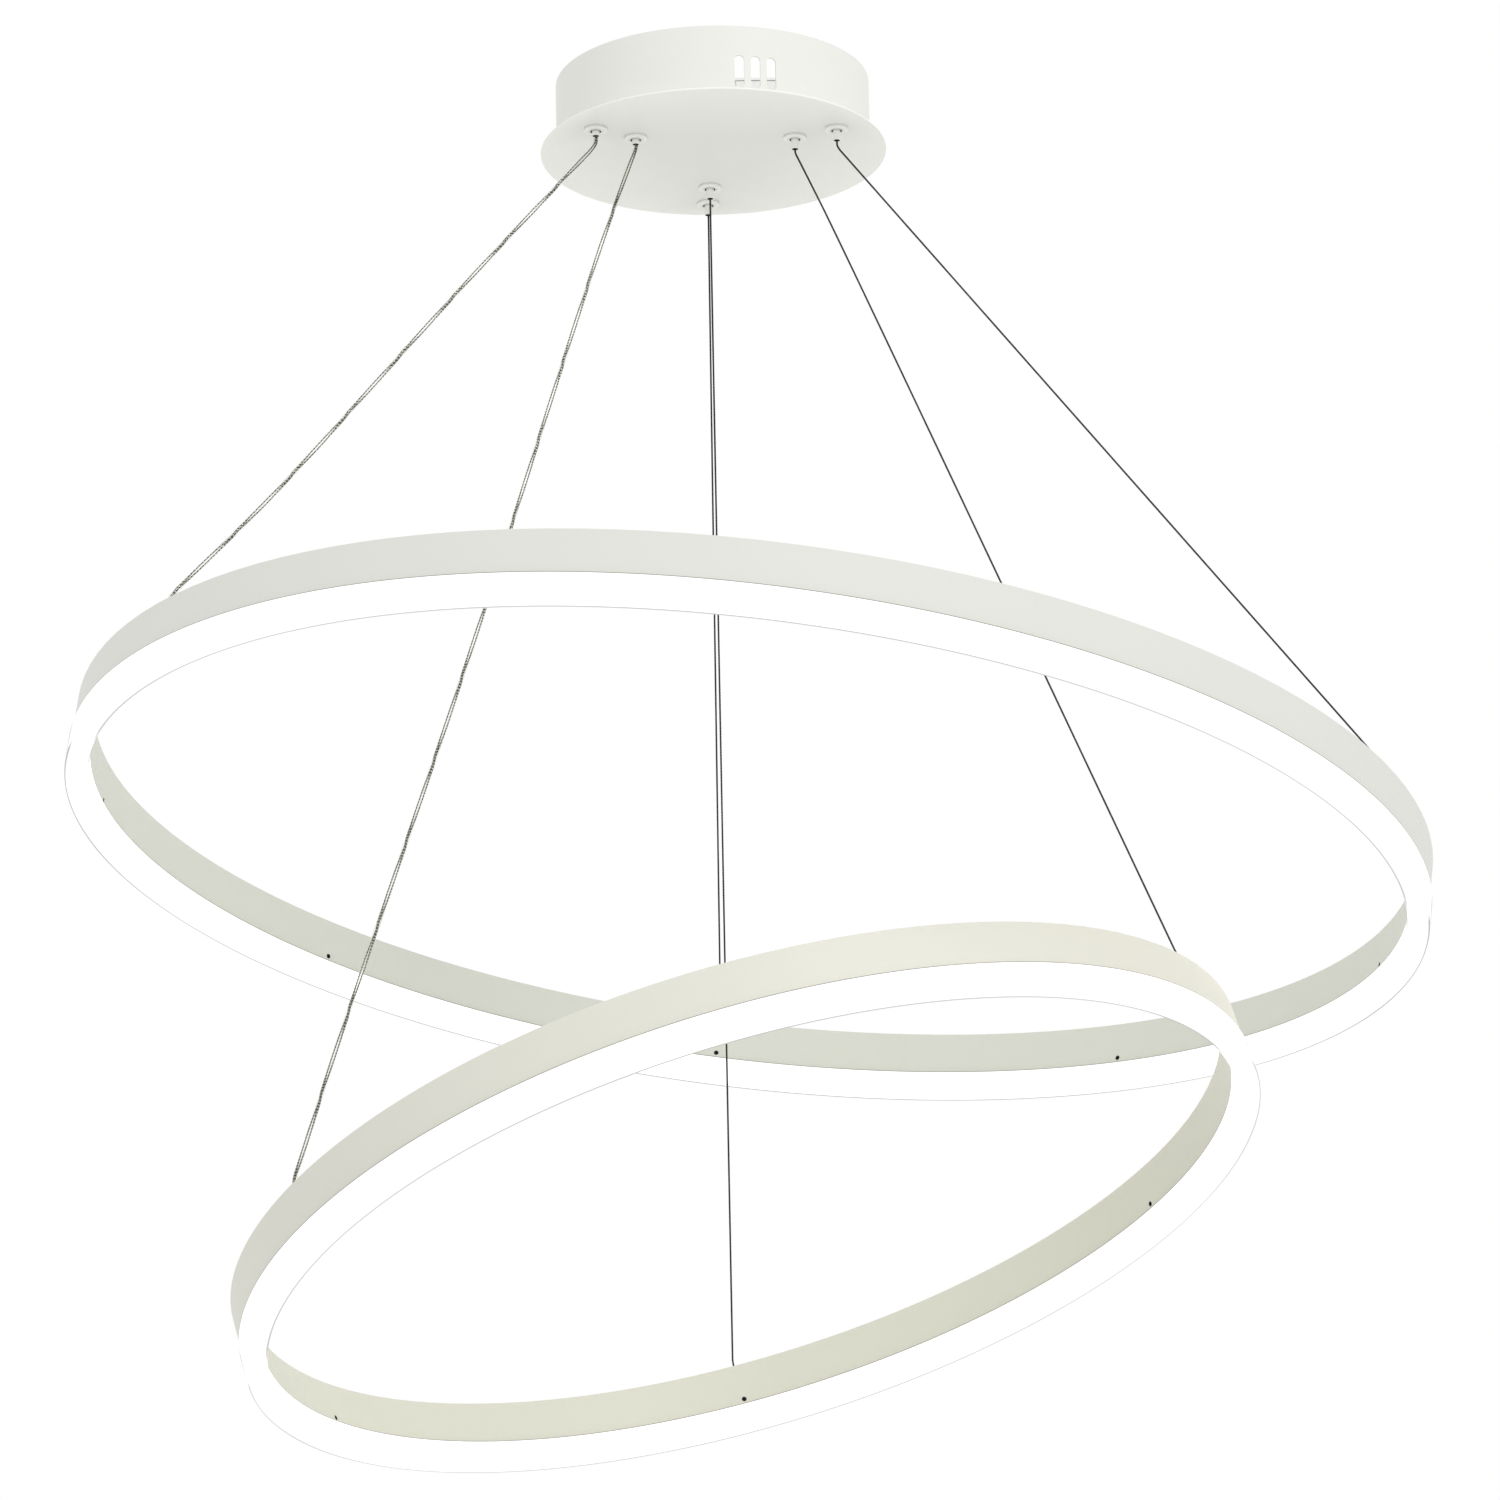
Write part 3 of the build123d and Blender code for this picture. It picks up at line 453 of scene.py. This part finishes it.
def true_normals(piece, flat):
    """Exact normals on level faces and round walls; flat takes a point to the frame that Z turns in."""
    mesh = piece.data
    turn = flat.to_3x3()
    normals = [corner.vector.copy() for corner in mesh.corner_normals]
    for face in mesh.polygons:
        facing = turn @ face.normal
        for loop in face.loop_indices:
            spot = flat @ mesh.vertices[mesh.loops[loop].vertex_index].co
            outward = Vector((spot.x, spot.y, 0.0)).normalized()
            lean = facing.dot(outward)
            if abs(facing.z) > LEVEL:
                normals[loop] = face.normal.copy()
            elif abs(lean) > UPRIGHT:
                normals[loop] = turn.inverted() @ (outward * math.copysign(1.0, lean))
    mesh.normals_split_custom_set(normals)


def merged(node):
    """Mesh of a CAD node with its corners merged."""
    bm = bmesh.new()
    bm.from_mesh(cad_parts[node].data)
    bmesh.ops.remove_doubles(bm, verts=bm.verts, dist=MERGE_DIST)
    return bm


def stand_for(piece, node, body):
    """The piece takes a node's place, and rides on the body that the node rides on."""
    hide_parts(node)
    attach(piece, body)


drum = new_piece("smooth_drum", merged("canopy_drum"), [drum_paint])
true_normals(drum, Matrix.Identity(4))
stand_for(drum, "canopy_drum", "canopy")
print(drum.name, len(drum.data.polygons), "faces")

# %% [markdown]
# ## Plate
# The plate's rim catches more light than its face. The attribute called face is one on the flat
# underside and nothing on the rim, so the paint there stays a touch brighter.

# %% Plate with a bright rim
PLATE_UNDER = -44.0 * MM
RIM_R = 103.4 * MM
bm = merged("canopy_plate")
face_layer = bm.verts.layers.float.new("face")
for vert in bm.verts:
    vert[face_layer] = 1.0 if vert.co.xy.length < RIM_R else 0.0
plate = new_piece("smooth_plate", bm, [plate_paint])
true_normals(plate, Matrix.Identity(4))
stand_for(plate, "canopy_plate", "canopy")
print(plate.name, len(plate.data.polygons), "faces")

# %% [markdown]
# ## Cable grips
# A grip is a flanged collar with a small press nipple in its mouth, all sprayed white. The gap
# round the nipple and the bore that the line leaves by get painted shade: the faces near the axis
# get the near-black finish, picked by their distance from it. A spring behind the nipple gets a
# smooth copy too, with a mesh of its own, that rides on the canopy.

# %% Collars, nipples and springs
GRIP_R = {"large": 83.0 * MM, "small": 55.0 * MM}
GRIP_AZ = {"left": 210.0, "right": 330.0, "rear": 90.0}
MOUTH_R, MOUTH_DEPTH = 3.25 * MM, 1.0 * MM
BORE_R = 1.9 * MM


def paint_recess_shade(bm, axis, radius, top):
    """Painted shade: the second, near-black finish on the faces within a radius of a grip's axis, below a
    height.
    """
    for face in bm.faces:
        middle = face.calc_center_median()
        if (middle.xy - axis).length < radius and middle.z < top:
            face.material_index = 1


for ring_name, grip_r in GRIP_R.items():
    for side, azimuth in GRIP_AZ.items():
        name = f"{ring_name}_{side}_grip"
        angle = math.radians(azimuth)
        axis = Vector((grip_r * math.cos(angle), grip_r * math.sin(angle)))
        bm = merged(f"{name}_collar")
        # Painted shade in the collar's mouth round the nipple, and below in the nipple's bore.
        paint_recess_shade(bm, axis, MOUTH_R, PLATE_UNDER + MOUTH_DEPTH)
        collar = new_piece(f"{name}_smooth_collar", bm, [grip_paint, black_steel_and_recess_shade])
        stand_for(collar, f"{name}_collar", "canopy")
        bm = merged(f"{name}_plunger")
        paint_recess_shade(bm, axis, BORE_R, 0.0)
        nipple = new_piece(f"{name}_smooth_nipple", bm, [grip_paint, black_steel_and_recess_shade])
        stand_for(nipple, f"{name}_plunger", f"{name}_press")
        spring = new_piece(f"{name}_coil", merged(f"{name}_spring"), [zinc])
        stand_for(spring, f"{name}_spring", "canopy")
        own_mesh(spring)
print("six grips: collar, nipple and spring each")

# %% [markdown]
# ## Bands of the rings
# Each ring has a tall metal band above its diffuser. Its inner wall gets painted shade, greyer and
# warmer than its outer one, and the small ring, which hangs under the light of the large one, gets
# painted warm light all over. Two attributes carry that: inside, from the distance to the ring's
# axis, and one for the painted warm light, the same for a whole ring. The distance is measured in
# the ring's own flat frame, before its tilt, so the inverse of the ring's place is used.

# %% Values of the two rings
# Besides size, place and screws, each ring has the strength of its painted warm light, and the rear
# direction, the ends and the strength of the painted dark line along its diffuser's outer lower edge.
RINGS = {
    "large": {
        "radius": 0.400, "centre": (0.0119, 0.0074, -0.4753), "tilt": 9.53, "toward": 31.5,
        "painted_warm_light": 0.0, "rear": 90.0, "ends": -0.165, "line": 0.78, "screws": 9, "first_screw": 90.2,
    },
    "small": {
        "radius": 0.300, "centre": (0.0076, -0.0284, -0.7044), "tilt": 18.21, "toward": 142.5,
        "painted_warm_light": 1.0, "rear": 81.0, "ends": -0.10, "line": 0.62, "screws": 6, "first_screw": 89.7,
    },
}
DIFFUSER_W, DIFFUSER_H, DIFFUSER_WALL = 13.0 * MM, 15.4 * MM, 1.5 * MM


def ring_matrix(ring):
    """Where a flat ring about Z goes: tilted towards a direction, then moved to its centre."""
    turn = Matrix.Rotation(math.radians(ring["toward"]), 4, "Z")
    tilt = Matrix.Rotation(math.radians(ring["tilt"]), 4, "Y")
    return Matrix.Translation(ring["centre"]) @ turn @ tilt @ turn.inverted()


def mid_radius(ring):
    """Distance from a ring's axis to the middle of its section."""
    return ring["radius"] - DIFFUSER_W / 2


# %% Bands
for name, ring in RINGS.items():
    bm = merged(f"{name}_ring_band")
    inner_shade_layer = bm.verts.layers.float.new("inside")
    warm_light_layer = bm.verts.layers.float.new("painted_warm_light")
    flat = ring_matrix(ring).inverted()
    # Painted shade on the inner wall, and painted warm light on the small ring, one number per vertex.
    for vert in bm.verts:
        local = flat @ vert.co
        vert[inner_shade_layer] = 1.0 if local.xy.length < mid_radius(ring) else 0.0
        vert[warm_light_layer] = ring["painted_warm_light"]
    band = new_piece(f"{name}_smooth_band", bm, [band_paint])
    true_normals(band, flat)
    stand_for(band, f"{name}_ring_band", f"{name}_ring")
    print(band.name, len(band.data.polygons), "faces")

# %% [markdown]
# ## Lit diffusers
# Under each band sits a white plastic channel, wider than the band, that the LED strip lights from
# inside. It is the brightest thing in the picture, dimmed only by painted shade: a painted shadow at
# the seam under the band, and a dark line painted along the lower edges, on the inner corner of the
# front half of the ring and on the outer corner of the rear half, narrow at the ring's ends. The
# section is drawn once, as one closed line, and spun round the ring's axis. The small screws of the
# band go through the inner leg of the diffuser, so a Boolean modifier drills it, or bright plastic
# would show in the sockets of the screws. Two numbers go with each vertex, for the painted shadow at
# the seam and for the painted shade along the lower edge, and the material uses them to dim the
# light there, with no picture. Layer Weight paints a thin dark outline where the plastic turns out
# of sight. A lit lamp is brighter than the white of a picture. The Light Path node lets it light
# its neighbours at that strength, warm as LED light is, while straight views of it, and views
# through clear plastic, stay plain white.

# %% Finish of the lit diffuser
opal, shader, nodes, links = new_finish("lit_opal")
place = nodes.new("ShaderNodeTexCoord")
milk = nodes.new("ShaderNodeTexNoise")
milk.inputs["Scale"].default_value = 40.0
links.new(place.outputs["Object"], milk.inputs["Vector"])
sheen = nodes.new("ShaderNodeMapRange")
sheen.inputs["To Min"].default_value = 0.42
sheen.inputs["To Max"].default_value = 0.55
links.new(milk.outputs["Fac"], sheen.inputs["Value"])
links.new(sheen.outputs[0], shader.inputs["Roughness"])
paths = nodes.new("ShaderNodeLightPath")
straight = nodes.new("ShaderNodeMath")
straight.operation = "MAXIMUM"
links.new(paths.outputs["Is Camera Ray"], straight.inputs[0])
links.new(paths.outputs["Is Transmission Ray"], straight.inputs[1])
glow = nodes.new("ShaderNodeMix")
glow.data_type = "RGBA"
glow.inputs["A"].default_value = (2.4, 2.25, 1.95, 1.0)
glow.inputs["B"].default_value = (1.0, 1.0, 1.0, 1.0)
links.new(straight.outputs[0], glow.inputs["Factor"])


def painted_mask(attribute):
    """The number that goes with each vertex under a name."""
    mask = nodes.new("ShaderNodeAttribute")
    mask.attribute_name = attribute
    return mask.outputs["Fac"]


def dimmed(light, mask, colour):
    """Painted shade: light of another colour where a mask says so."""
    mix = nodes.new("ShaderNodeMix")
    mix.data_type = "RGBA"
    mix.inputs["B"].default_value = (*colour, 1.0)
    links.new(light, mix.inputs["A"])
    links.new(mask, mix.inputs["Factor"])
    return mix.outputs["Result"]


turning = nodes.new("ShaderNodeLayerWeight")
outline = nodes.new("ShaderNodeMapRange")
outline.inputs["From Min"].default_value = 0.92
outline.inputs["From Max"].default_value = 0.96
outline.inputs["To Max"].default_value = 0.7
links.new(turning.outputs["Facing"], outline.inputs["Value"])
# Painted shade: a dark outline where the plastic turns out of sight, a dark line along the lower edges, and a
# painted shadow at the seam under the band.
by_painted_outline = dimmed(glow.outputs["Result"], outline.outputs[0], (0.03, 0.03, 0.03))
by_edge_shade = dimmed(by_painted_outline, painted_mask("edge"), (0.03, 0.03, 0.03))
by_seam_shadow = dimmed(by_edge_shade, painted_mask("seam"), (0.05, 0.045, 0.03))
links.new(by_seam_shadow, shader.inputs["Emission Color"])
shader.inputs["Emission Strength"].default_value = 1.0
shader.inputs["Base Color"].default_value = (0.3, 0.3, 0.29, 1.0)
shader.inputs["Specular IOR Level"].default_value = 0.0
print("finish", opal.name)

# %% Section of a diffuser
LEG_HALF, LEG_T, LEG_H = 3.8 * MM, 1.2 * MM, 6.0 * MM
CORNER_R = 0.6 * MM
CORNER_ANGLES = (0.0, 0.39, 0.785, 1.18, 1.571)
SEAM_FULL, SEAM_GONE, SEAM_REACH = 0.6 * MM, 0.9 * MM, 1.0 * MM
EDGE_FULL, EDGE_GONE = 1.8 * MM, 2.5 * MM
END_FULL, END_GONE = 0.6 * MM, 0.9 * MM
UNDER_FULL, UNDER_GONE = 0.2 * MM, 0.5 * MM
NEAR_EDGE, NEAR_FULL, NEAR_GONE = 0.68, -0.24, -0.18
LINE_FADE = 0.04
SCREW_Z, HOLE_R, DRILL_SIDES = 2.8 * MM, 1.6 * MM, 24
SPIN_STEPS, SPIN_MERGE = 240, 0.001 * MM


def diffuser_section():
    """Closed line of the section, as (distance from mid-width, height) in metres."""
    half, low, r = DIFFUSER_W / 2, -DIFFUSER_H, CORNER_R
    bend = [(math.sin(a) * r, math.cos(a) * r) for a in CORNER_ANGLES]
    one_side = [(LEG_HALF, LEG_H), (LEG_HALF, 0.0)]
    one_side += [(half - r + x, -r + y) for x, y in bend]
    one_side += [(half, -SEAM_GONE)]
    one_side += [(half - r + x, low + r - y) for x, y in reversed(bend)]
    one_side += [(half - inset, low) for inset in (END_GONE, EDGE_FULL, EDGE_GONE)]
    inside = [
        (half - DIFFUSER_WALL, low + DIFFUSER_WALL),
        (half - DIFFUSER_WALL, -DIFFUSER_WALL),
        (LEG_HALF - LEG_T, -DIFFUSER_WALL),
        (LEG_HALF - LEG_T, LEG_H),
    ]
    other_side = [(-u, z) for u, z in reversed(one_side)]
    other_inside = [(-u, z) for u, z in reversed(inside)]
    return one_side + other_side + other_inside + inside


def fade(value, full, gone):
    """One up to a value, nothing from another on, and a straight fall between them."""
    return max(0.0, min(1.0, (gone - value) / (gone - full)))


def edge_shade_share(from_side, height, behind, outer, ring):
    """How much painted shade the lower edge gets: a strip that is wide across the view and narrow at the
    ring's ends.
    """
    middle = abs(behind)
    full = END_FULL + middle * (EDGE_FULL - END_FULL)
    gone = END_GONE + middle * (EDGE_GONE - END_GONE)
    strip = fade(from_side, full, gone) * fade(height, UNDER_FULL, UNDER_GONE)
    if not outer:
        return NEAR_EDGE * strip * fade(behind, NEAR_FULL, NEAR_GONE)
    return ring["line"] * strip * fade(ring["ends"] - behind, 0.0, LINE_FADE)


print("section of", len(diffuser_section()), "points")


# %% Spin the diffusers
def spin_ring(section, radius, steps):
    """Spin a closed section round Z at a mid-width radius."""
    bm = bmesh.new()
    verts = [bm.verts.new((radius + u, 0.0, z)) for u, z in section]
    edges = [bm.edges.new((verts[i - 1], verts[i])) for i in range(len(verts))]
    bmesh.ops.spin(
        bm, geom=verts + edges, cent=(0.0, 0.0, 0.0), axis=(0.0, 0.0, 1.0), dvec=(0.0, 0.0, 0.0),
        angle=2.0 * math.pi, steps=steps, use_merge=True, use_duplicate=False,
    )
    bmesh.ops.remove_doubles(bm, verts=bm.verts, dist=SPIN_MERGE)
    bmesh.ops.recalc_face_normals(bm, faces=bm.faces)
    return bm


def drilled(bm, ring):
    """The same flat ring with a hole through its inner leg for each screw."""
    body = new_piece("undrilled_ring", bm, [])
    bm = bmesh.new()
    across = Matrix.Rotation(math.radians(90.0), 4, "Y")
    reach = Matrix.Translation((mid_radius(ring) - LEG_HALF + LEG_T / 2, 0.0, SCREW_Z))
    for index in range(ring["screws"]):
        azimuth = math.radians(ring["first_screw"] + index * 360.0 / ring["screws"])
        bmesh.ops.create_cone(
            bm, cap_ends=True, segments=DRILL_SIDES, radius1=HOLE_R, radius2=HOLE_R, depth=2.0 * LEG_T,
            matrix=Matrix.Rotation(azimuth, 4, "Z") @ reach @ across,
        )
    drills = new_piece("drills", bm, [])
    body.modifiers.new("screw_holes", "BOOLEAN").object = drills
    bpy.context.view_layer.update()
    bm = bmesh.new()
    bm.from_object(body, bpy.context.evaluated_depsgraph_get())
    for helper in (body, drills):
        bpy.data.objects.remove(helper)
    return bm


for name, ring in RINGS.items():
    mid = mid_radius(ring)
    bm = drilled(spin_ring(diffuser_section(), mid, SPIN_STEPS), ring)
    seam_shadow_layer = bm.verts.layers.float.new("seam")
    edge_shade_layer = bm.verts.layers.float.new("edge")
    rearward = Vector((math.cos(math.radians(ring["rear"])), math.sin(math.radians(ring["rear"]))))
    # Painted shadow at the seam under the band, and painted shade along the lower edges.
    for vert in bm.verts:
        u = vert.co.xy.length - mid
        from_side = DIFFUSER_W / 2 - abs(u)
        if from_side < SEAM_REACH:
            vert[seam_shadow_layer] = fade(-vert.co.z, SEAM_FULL, SEAM_GONE)
        behind = vert.co.xy.dot(rearward) / mid
        vert[edge_shade_layer] = edge_shade_share(from_side, vert.co.z + DIFFUSER_H, behind, u > 0.0, ring)
    bmesh.ops.transform(bm, matrix=ring_matrix(ring), verts=bm.verts)
    diffuser = new_piece(f"{name}_lit_diffuser", bm, [opal])
    stand_for(diffuser, f"{name}_ring_diffuser", f"{name}_ring")
    print(diffuser.name, len(diffuser.data.polygons), "faces")

# %% [markdown]
# ## Suspension lines
# Each ring hangs on three lines: two steel wires and, on the left, a clear power cable with strands
# twisted in it. A taut wire is straight between the grip's mouth and the ring, with a short bend
# at each end; the cables are softer and wander a little, as the photograph shows. The route is a
# NURBS spline on the same points as the CAD line, with a few more listed. The strands are wound
# round points that are read back from that spline. A line is cut just above the band: the tail
# inside the band rides on the ring, and the part above rides on the canopy.

# %% Routes of the lines
LINES = {
    "large_left_power_cable": {
        "ring": "large", "mouth": -0.0488,
        "points": [
            (-0.07188, -0.0415, -0.0230), (-0.07188, -0.0415, -0.0488), (-0.07188, -0.0415, -0.0547),
            (-0.0831, -0.0480, -0.0692), (-0.1462, -0.0846, -0.1524), (-0.1957, -0.1134, -0.2204),
            (-0.2601, -0.1507, -0.3090), (-0.3105, -0.1800, -0.3706), (-0.319554, -0.185245, -0.382159),
            (-0.320888, -0.186062, -0.391479),
        ],
    },
    "large_right_wire": {
        "ring": "large", "mouth": -0.0520,
        "points": [
            (0.07188, -0.0415, -0.0140), (0.07188, -0.0415, -0.0520), (0.07188, -0.0415, -0.055985),
            (0.0759, -0.04357, -0.0620), (0.3507, -0.1848, -0.4719), (0.355151, -0.187065, -0.478578),
            (0.353817, -0.187883, -0.487898),
        ],
    },
    "large_rear_wire": {
        "ring": "large", "mouth": -0.0520,
        "points": [
            (0.0, 0.083, -0.0140), (0.0, 0.083, -0.0520), (0.0, 0.083, -0.055973),
            (0.00017, 0.0875, -0.0620), (0.01194, 0.3970, -0.47463), (0.01213, 0.40188, -0.481138),
            (0.010796, 0.401063, -0.490458),
        ],
    },
    "small_left_power_cable": {
        "ring": "small", "mouth": -0.0488,
        "points": [
            (-0.047631, -0.0275, -0.0230), (-0.047631, -0.0275, -0.0488), (-0.047631, -0.0275, -0.0517),
            (-0.0531, -0.0310, -0.0670), (-0.0762, -0.0462, -0.1377), (-0.1473, -0.0993, -0.3823),
            (-0.2206, -0.1502, -0.6138), (-0.2458, -0.1690, -0.6996), (-0.249865, -0.171882, -0.712965),
            (-0.247522, -0.17368, -0.721942),
        ],
    },
    "small_right_wire": {
        "ring": "small", "mouth": -0.0520,
        "points": [
            (0.047631, -0.0275, -0.0140), (0.047631, -0.0275, -0.0520), (0.047631, -0.0275, -0.05454),
            (0.0499, -0.0289, -0.0600), (0.0726, -0.0437, -0.1184), (0.2399, -0.1605, -0.5797),
            (0.242396, -0.162198, -0.586427), (0.244739, -0.163996, -0.595403),
        ],
    },
    "small_rear_wire": {
        "ring": "small", "mouth": -0.0520,
        "points": [
            (0.0, 0.055, -0.0140), (0.0, 0.055, -0.0520), (0.0, 0.055, -0.053811),
            (0.00005, 0.0563, -0.0580), (0.00906, 0.2629, -0.7260), (0.009146, 0.265089, -0.732876),
            (0.011489, 0.263291, -0.741852),
        ],
    },
}
WIRE_D, CABLE_D = 1.2 * MM, 2.4 * MM
ROPE_PITCH = 10.0 * MM
STRAND_OFFSET, STRAND_R, STRAND_PITCH = 0.64 * MM, 0.34 * MM, 110.0 * MM
POINT_SPACING = 1.1 * MM
SIDEWAYS = Vector((0.31, 0.95, 0.0))
CUT_HEIGHT = 26.4 * MM
print(len(LINES), "lines")


# %% Points along a route
def mesh_of(curve):
    """The mesh that Blender makes of a curve."""
    holder = bpy.data.objects.new("line_helper", curve)
    scene.collection.objects.link(holder)
    bpy.context.view_layer.update()
    mesh = bpy.data.meshes.new_from_object(holder.evaluated_get(bpy.context.evaluated_depsgraph_get()))
    bpy.data.objects.remove(holder)
    return mesh


def route_points(points, spacing):
    """Points along the NURBS spline of a route, no closer together than spacing."""
    curve = bpy.data.curves.new("route", "CURVE")
    curve.dimensions = "3D"
    curve.resolution_u = 600
    spline = curve.splines.new("NURBS")
    spline.points.add(len(points) - 1)
    for point, place in zip(spline.points, points):
        point.co = (*place, 1.0)
    spline.order_u = 3
    spline.use_endpoint_u = True
    line = [vert.co.copy() for vert in mesh_of(curve).vertices]
    kept = [line[0]]
    for place in line:
        if (place - kept[-1]).length >= spacing:
            kept.append(place)
    kept[-1] = line[-1]
    return kept


def length_of(line):
    """Length along the points of a line."""
    return sum((b - a).length for a, b in zip(line, line[1:]))


# %% Wind the strands
def wound(name, line, before, strands, offset, strand_r, pitch, finish, sides):
    """Mesh of round strands wound about a line that goes on from a length before it.

    One strand with no offset is a plain tube.
    """
    curve = bpy.data.curves.new(name, "CURVE")
    curve.dimensions = "3D"
    curve.bevel_depth = strand_r
    curve.bevel_resolution = sides
    curve.use_fill_caps = True
    for index in range(strands):
        spline = curve.splines.new("POLY")
        spline.points.add(len(line) - 1)
        gone = before
        for i, place in enumerate(line):
            along = (line[min(i + 1, len(line) - 1)] - line[max(i - 1, 0)]).normalized()
            across = along.cross(SIDEWAYS).normalized()
            gone += (place - line[max(i - 1, 0)]).length
            turn = 2.0 * math.pi * (gone / pitch + index / strands)
            spot = place + offset * (math.cos(turn) * across + math.sin(turn) * along.cross(across))
            spline.points[i].co = (*spot, 1.0)
    mesh = mesh_of(curve)
    mesh.name = name
    mesh.materials.clear()
    mesh.materials.append(finish)
    mesh.shade_smooth()
    piece = bpy.data.objects.new(name, mesh)
    scene.collection.objects.link(piece)
    return piece


# %% Clear sheath
clear_sheath, shader, nodes, links = new_finish("clear_sheath")
shader.inputs["Base Color"].default_value = (0.90, 0.90, 0.87, 1.0)
shader.inputs["Roughness"].default_value = 0.10
shader.inputs["IOR"].default_value = 1.42
shader.inputs["Transmission Weight"].default_value = 1.0
place = nodes.new("ShaderNodeTexCoord")
waves = nodes.new("ShaderNodeTexNoise")
waves.inputs["Scale"].default_value = 300.0
links.new(place.outputs["Object"], waves.inputs["Vector"])
skin = nodes.new("ShaderNodeBump")
skin.inputs["Strength"].default_value = 0.1
skin.inputs["Distance"].default_value = 0.00005
links.new(waves.outputs["Fac"], skin.inputs["Height"])
links.new(skin.outputs[0], shader.inputs["Normal"])
print("finish", clear_sheath.name)


# %% Hang the lines
def cut_above_band(path, ring):
    """The part of a path above a ring, and the tail that goes into the ring's band."""
    flat = ring_matrix(ring).inverted()
    cut = next(i for i, place in enumerate(path) if (flat @ place).z < CUT_HEIGHT)
    return path[:cut + 1], path[cut:]


def hang(piece):
    """The part above rides on the canopy, with a mesh of its own."""
    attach(piece, "canopy")
    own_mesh(piece)


# Each layer: strands, offset from the line, strand radius, pitch, finish, bevel resolution
ROPE = {"rope": (6, WIRE_D / 3, WIRE_D / 6, ROPE_PITCH, rope_steel, 1)}
CABLE = {
    "sheath": (1, 0.0, CABLE_D / 2, 1.0, clear_sheath, 4),
    "strands": (2, STRAND_OFFSET, STRAND_R, STRAND_PITCH, strand_tin, 2),
}
for node, line in LINES.items():
    is_cable = node.endswith("_power_cable")
    path = route_points(line["points"], POINT_SPACING)
    above, tail = cut_above_band(path, RINGS[line["ring"]])
    pieces = []
    for layer, build in (CABLE if is_cable else ROPE).items():
        upper = wound(f"{node}_{layer}", above, 0.0, *build)
        hang(upper)
        lower = wound(f"{node}_{layer}_tail", tail, length_of(above), *build)
        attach(lower, f"{line['ring']}_ring")
        pieces += [upper, lower]
    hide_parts(node)
    in_band = round(length_of(tail), 4)
    print(pieces[0].name, round(length_of(path), 4), "m long,", in_band, "m of it in the band")
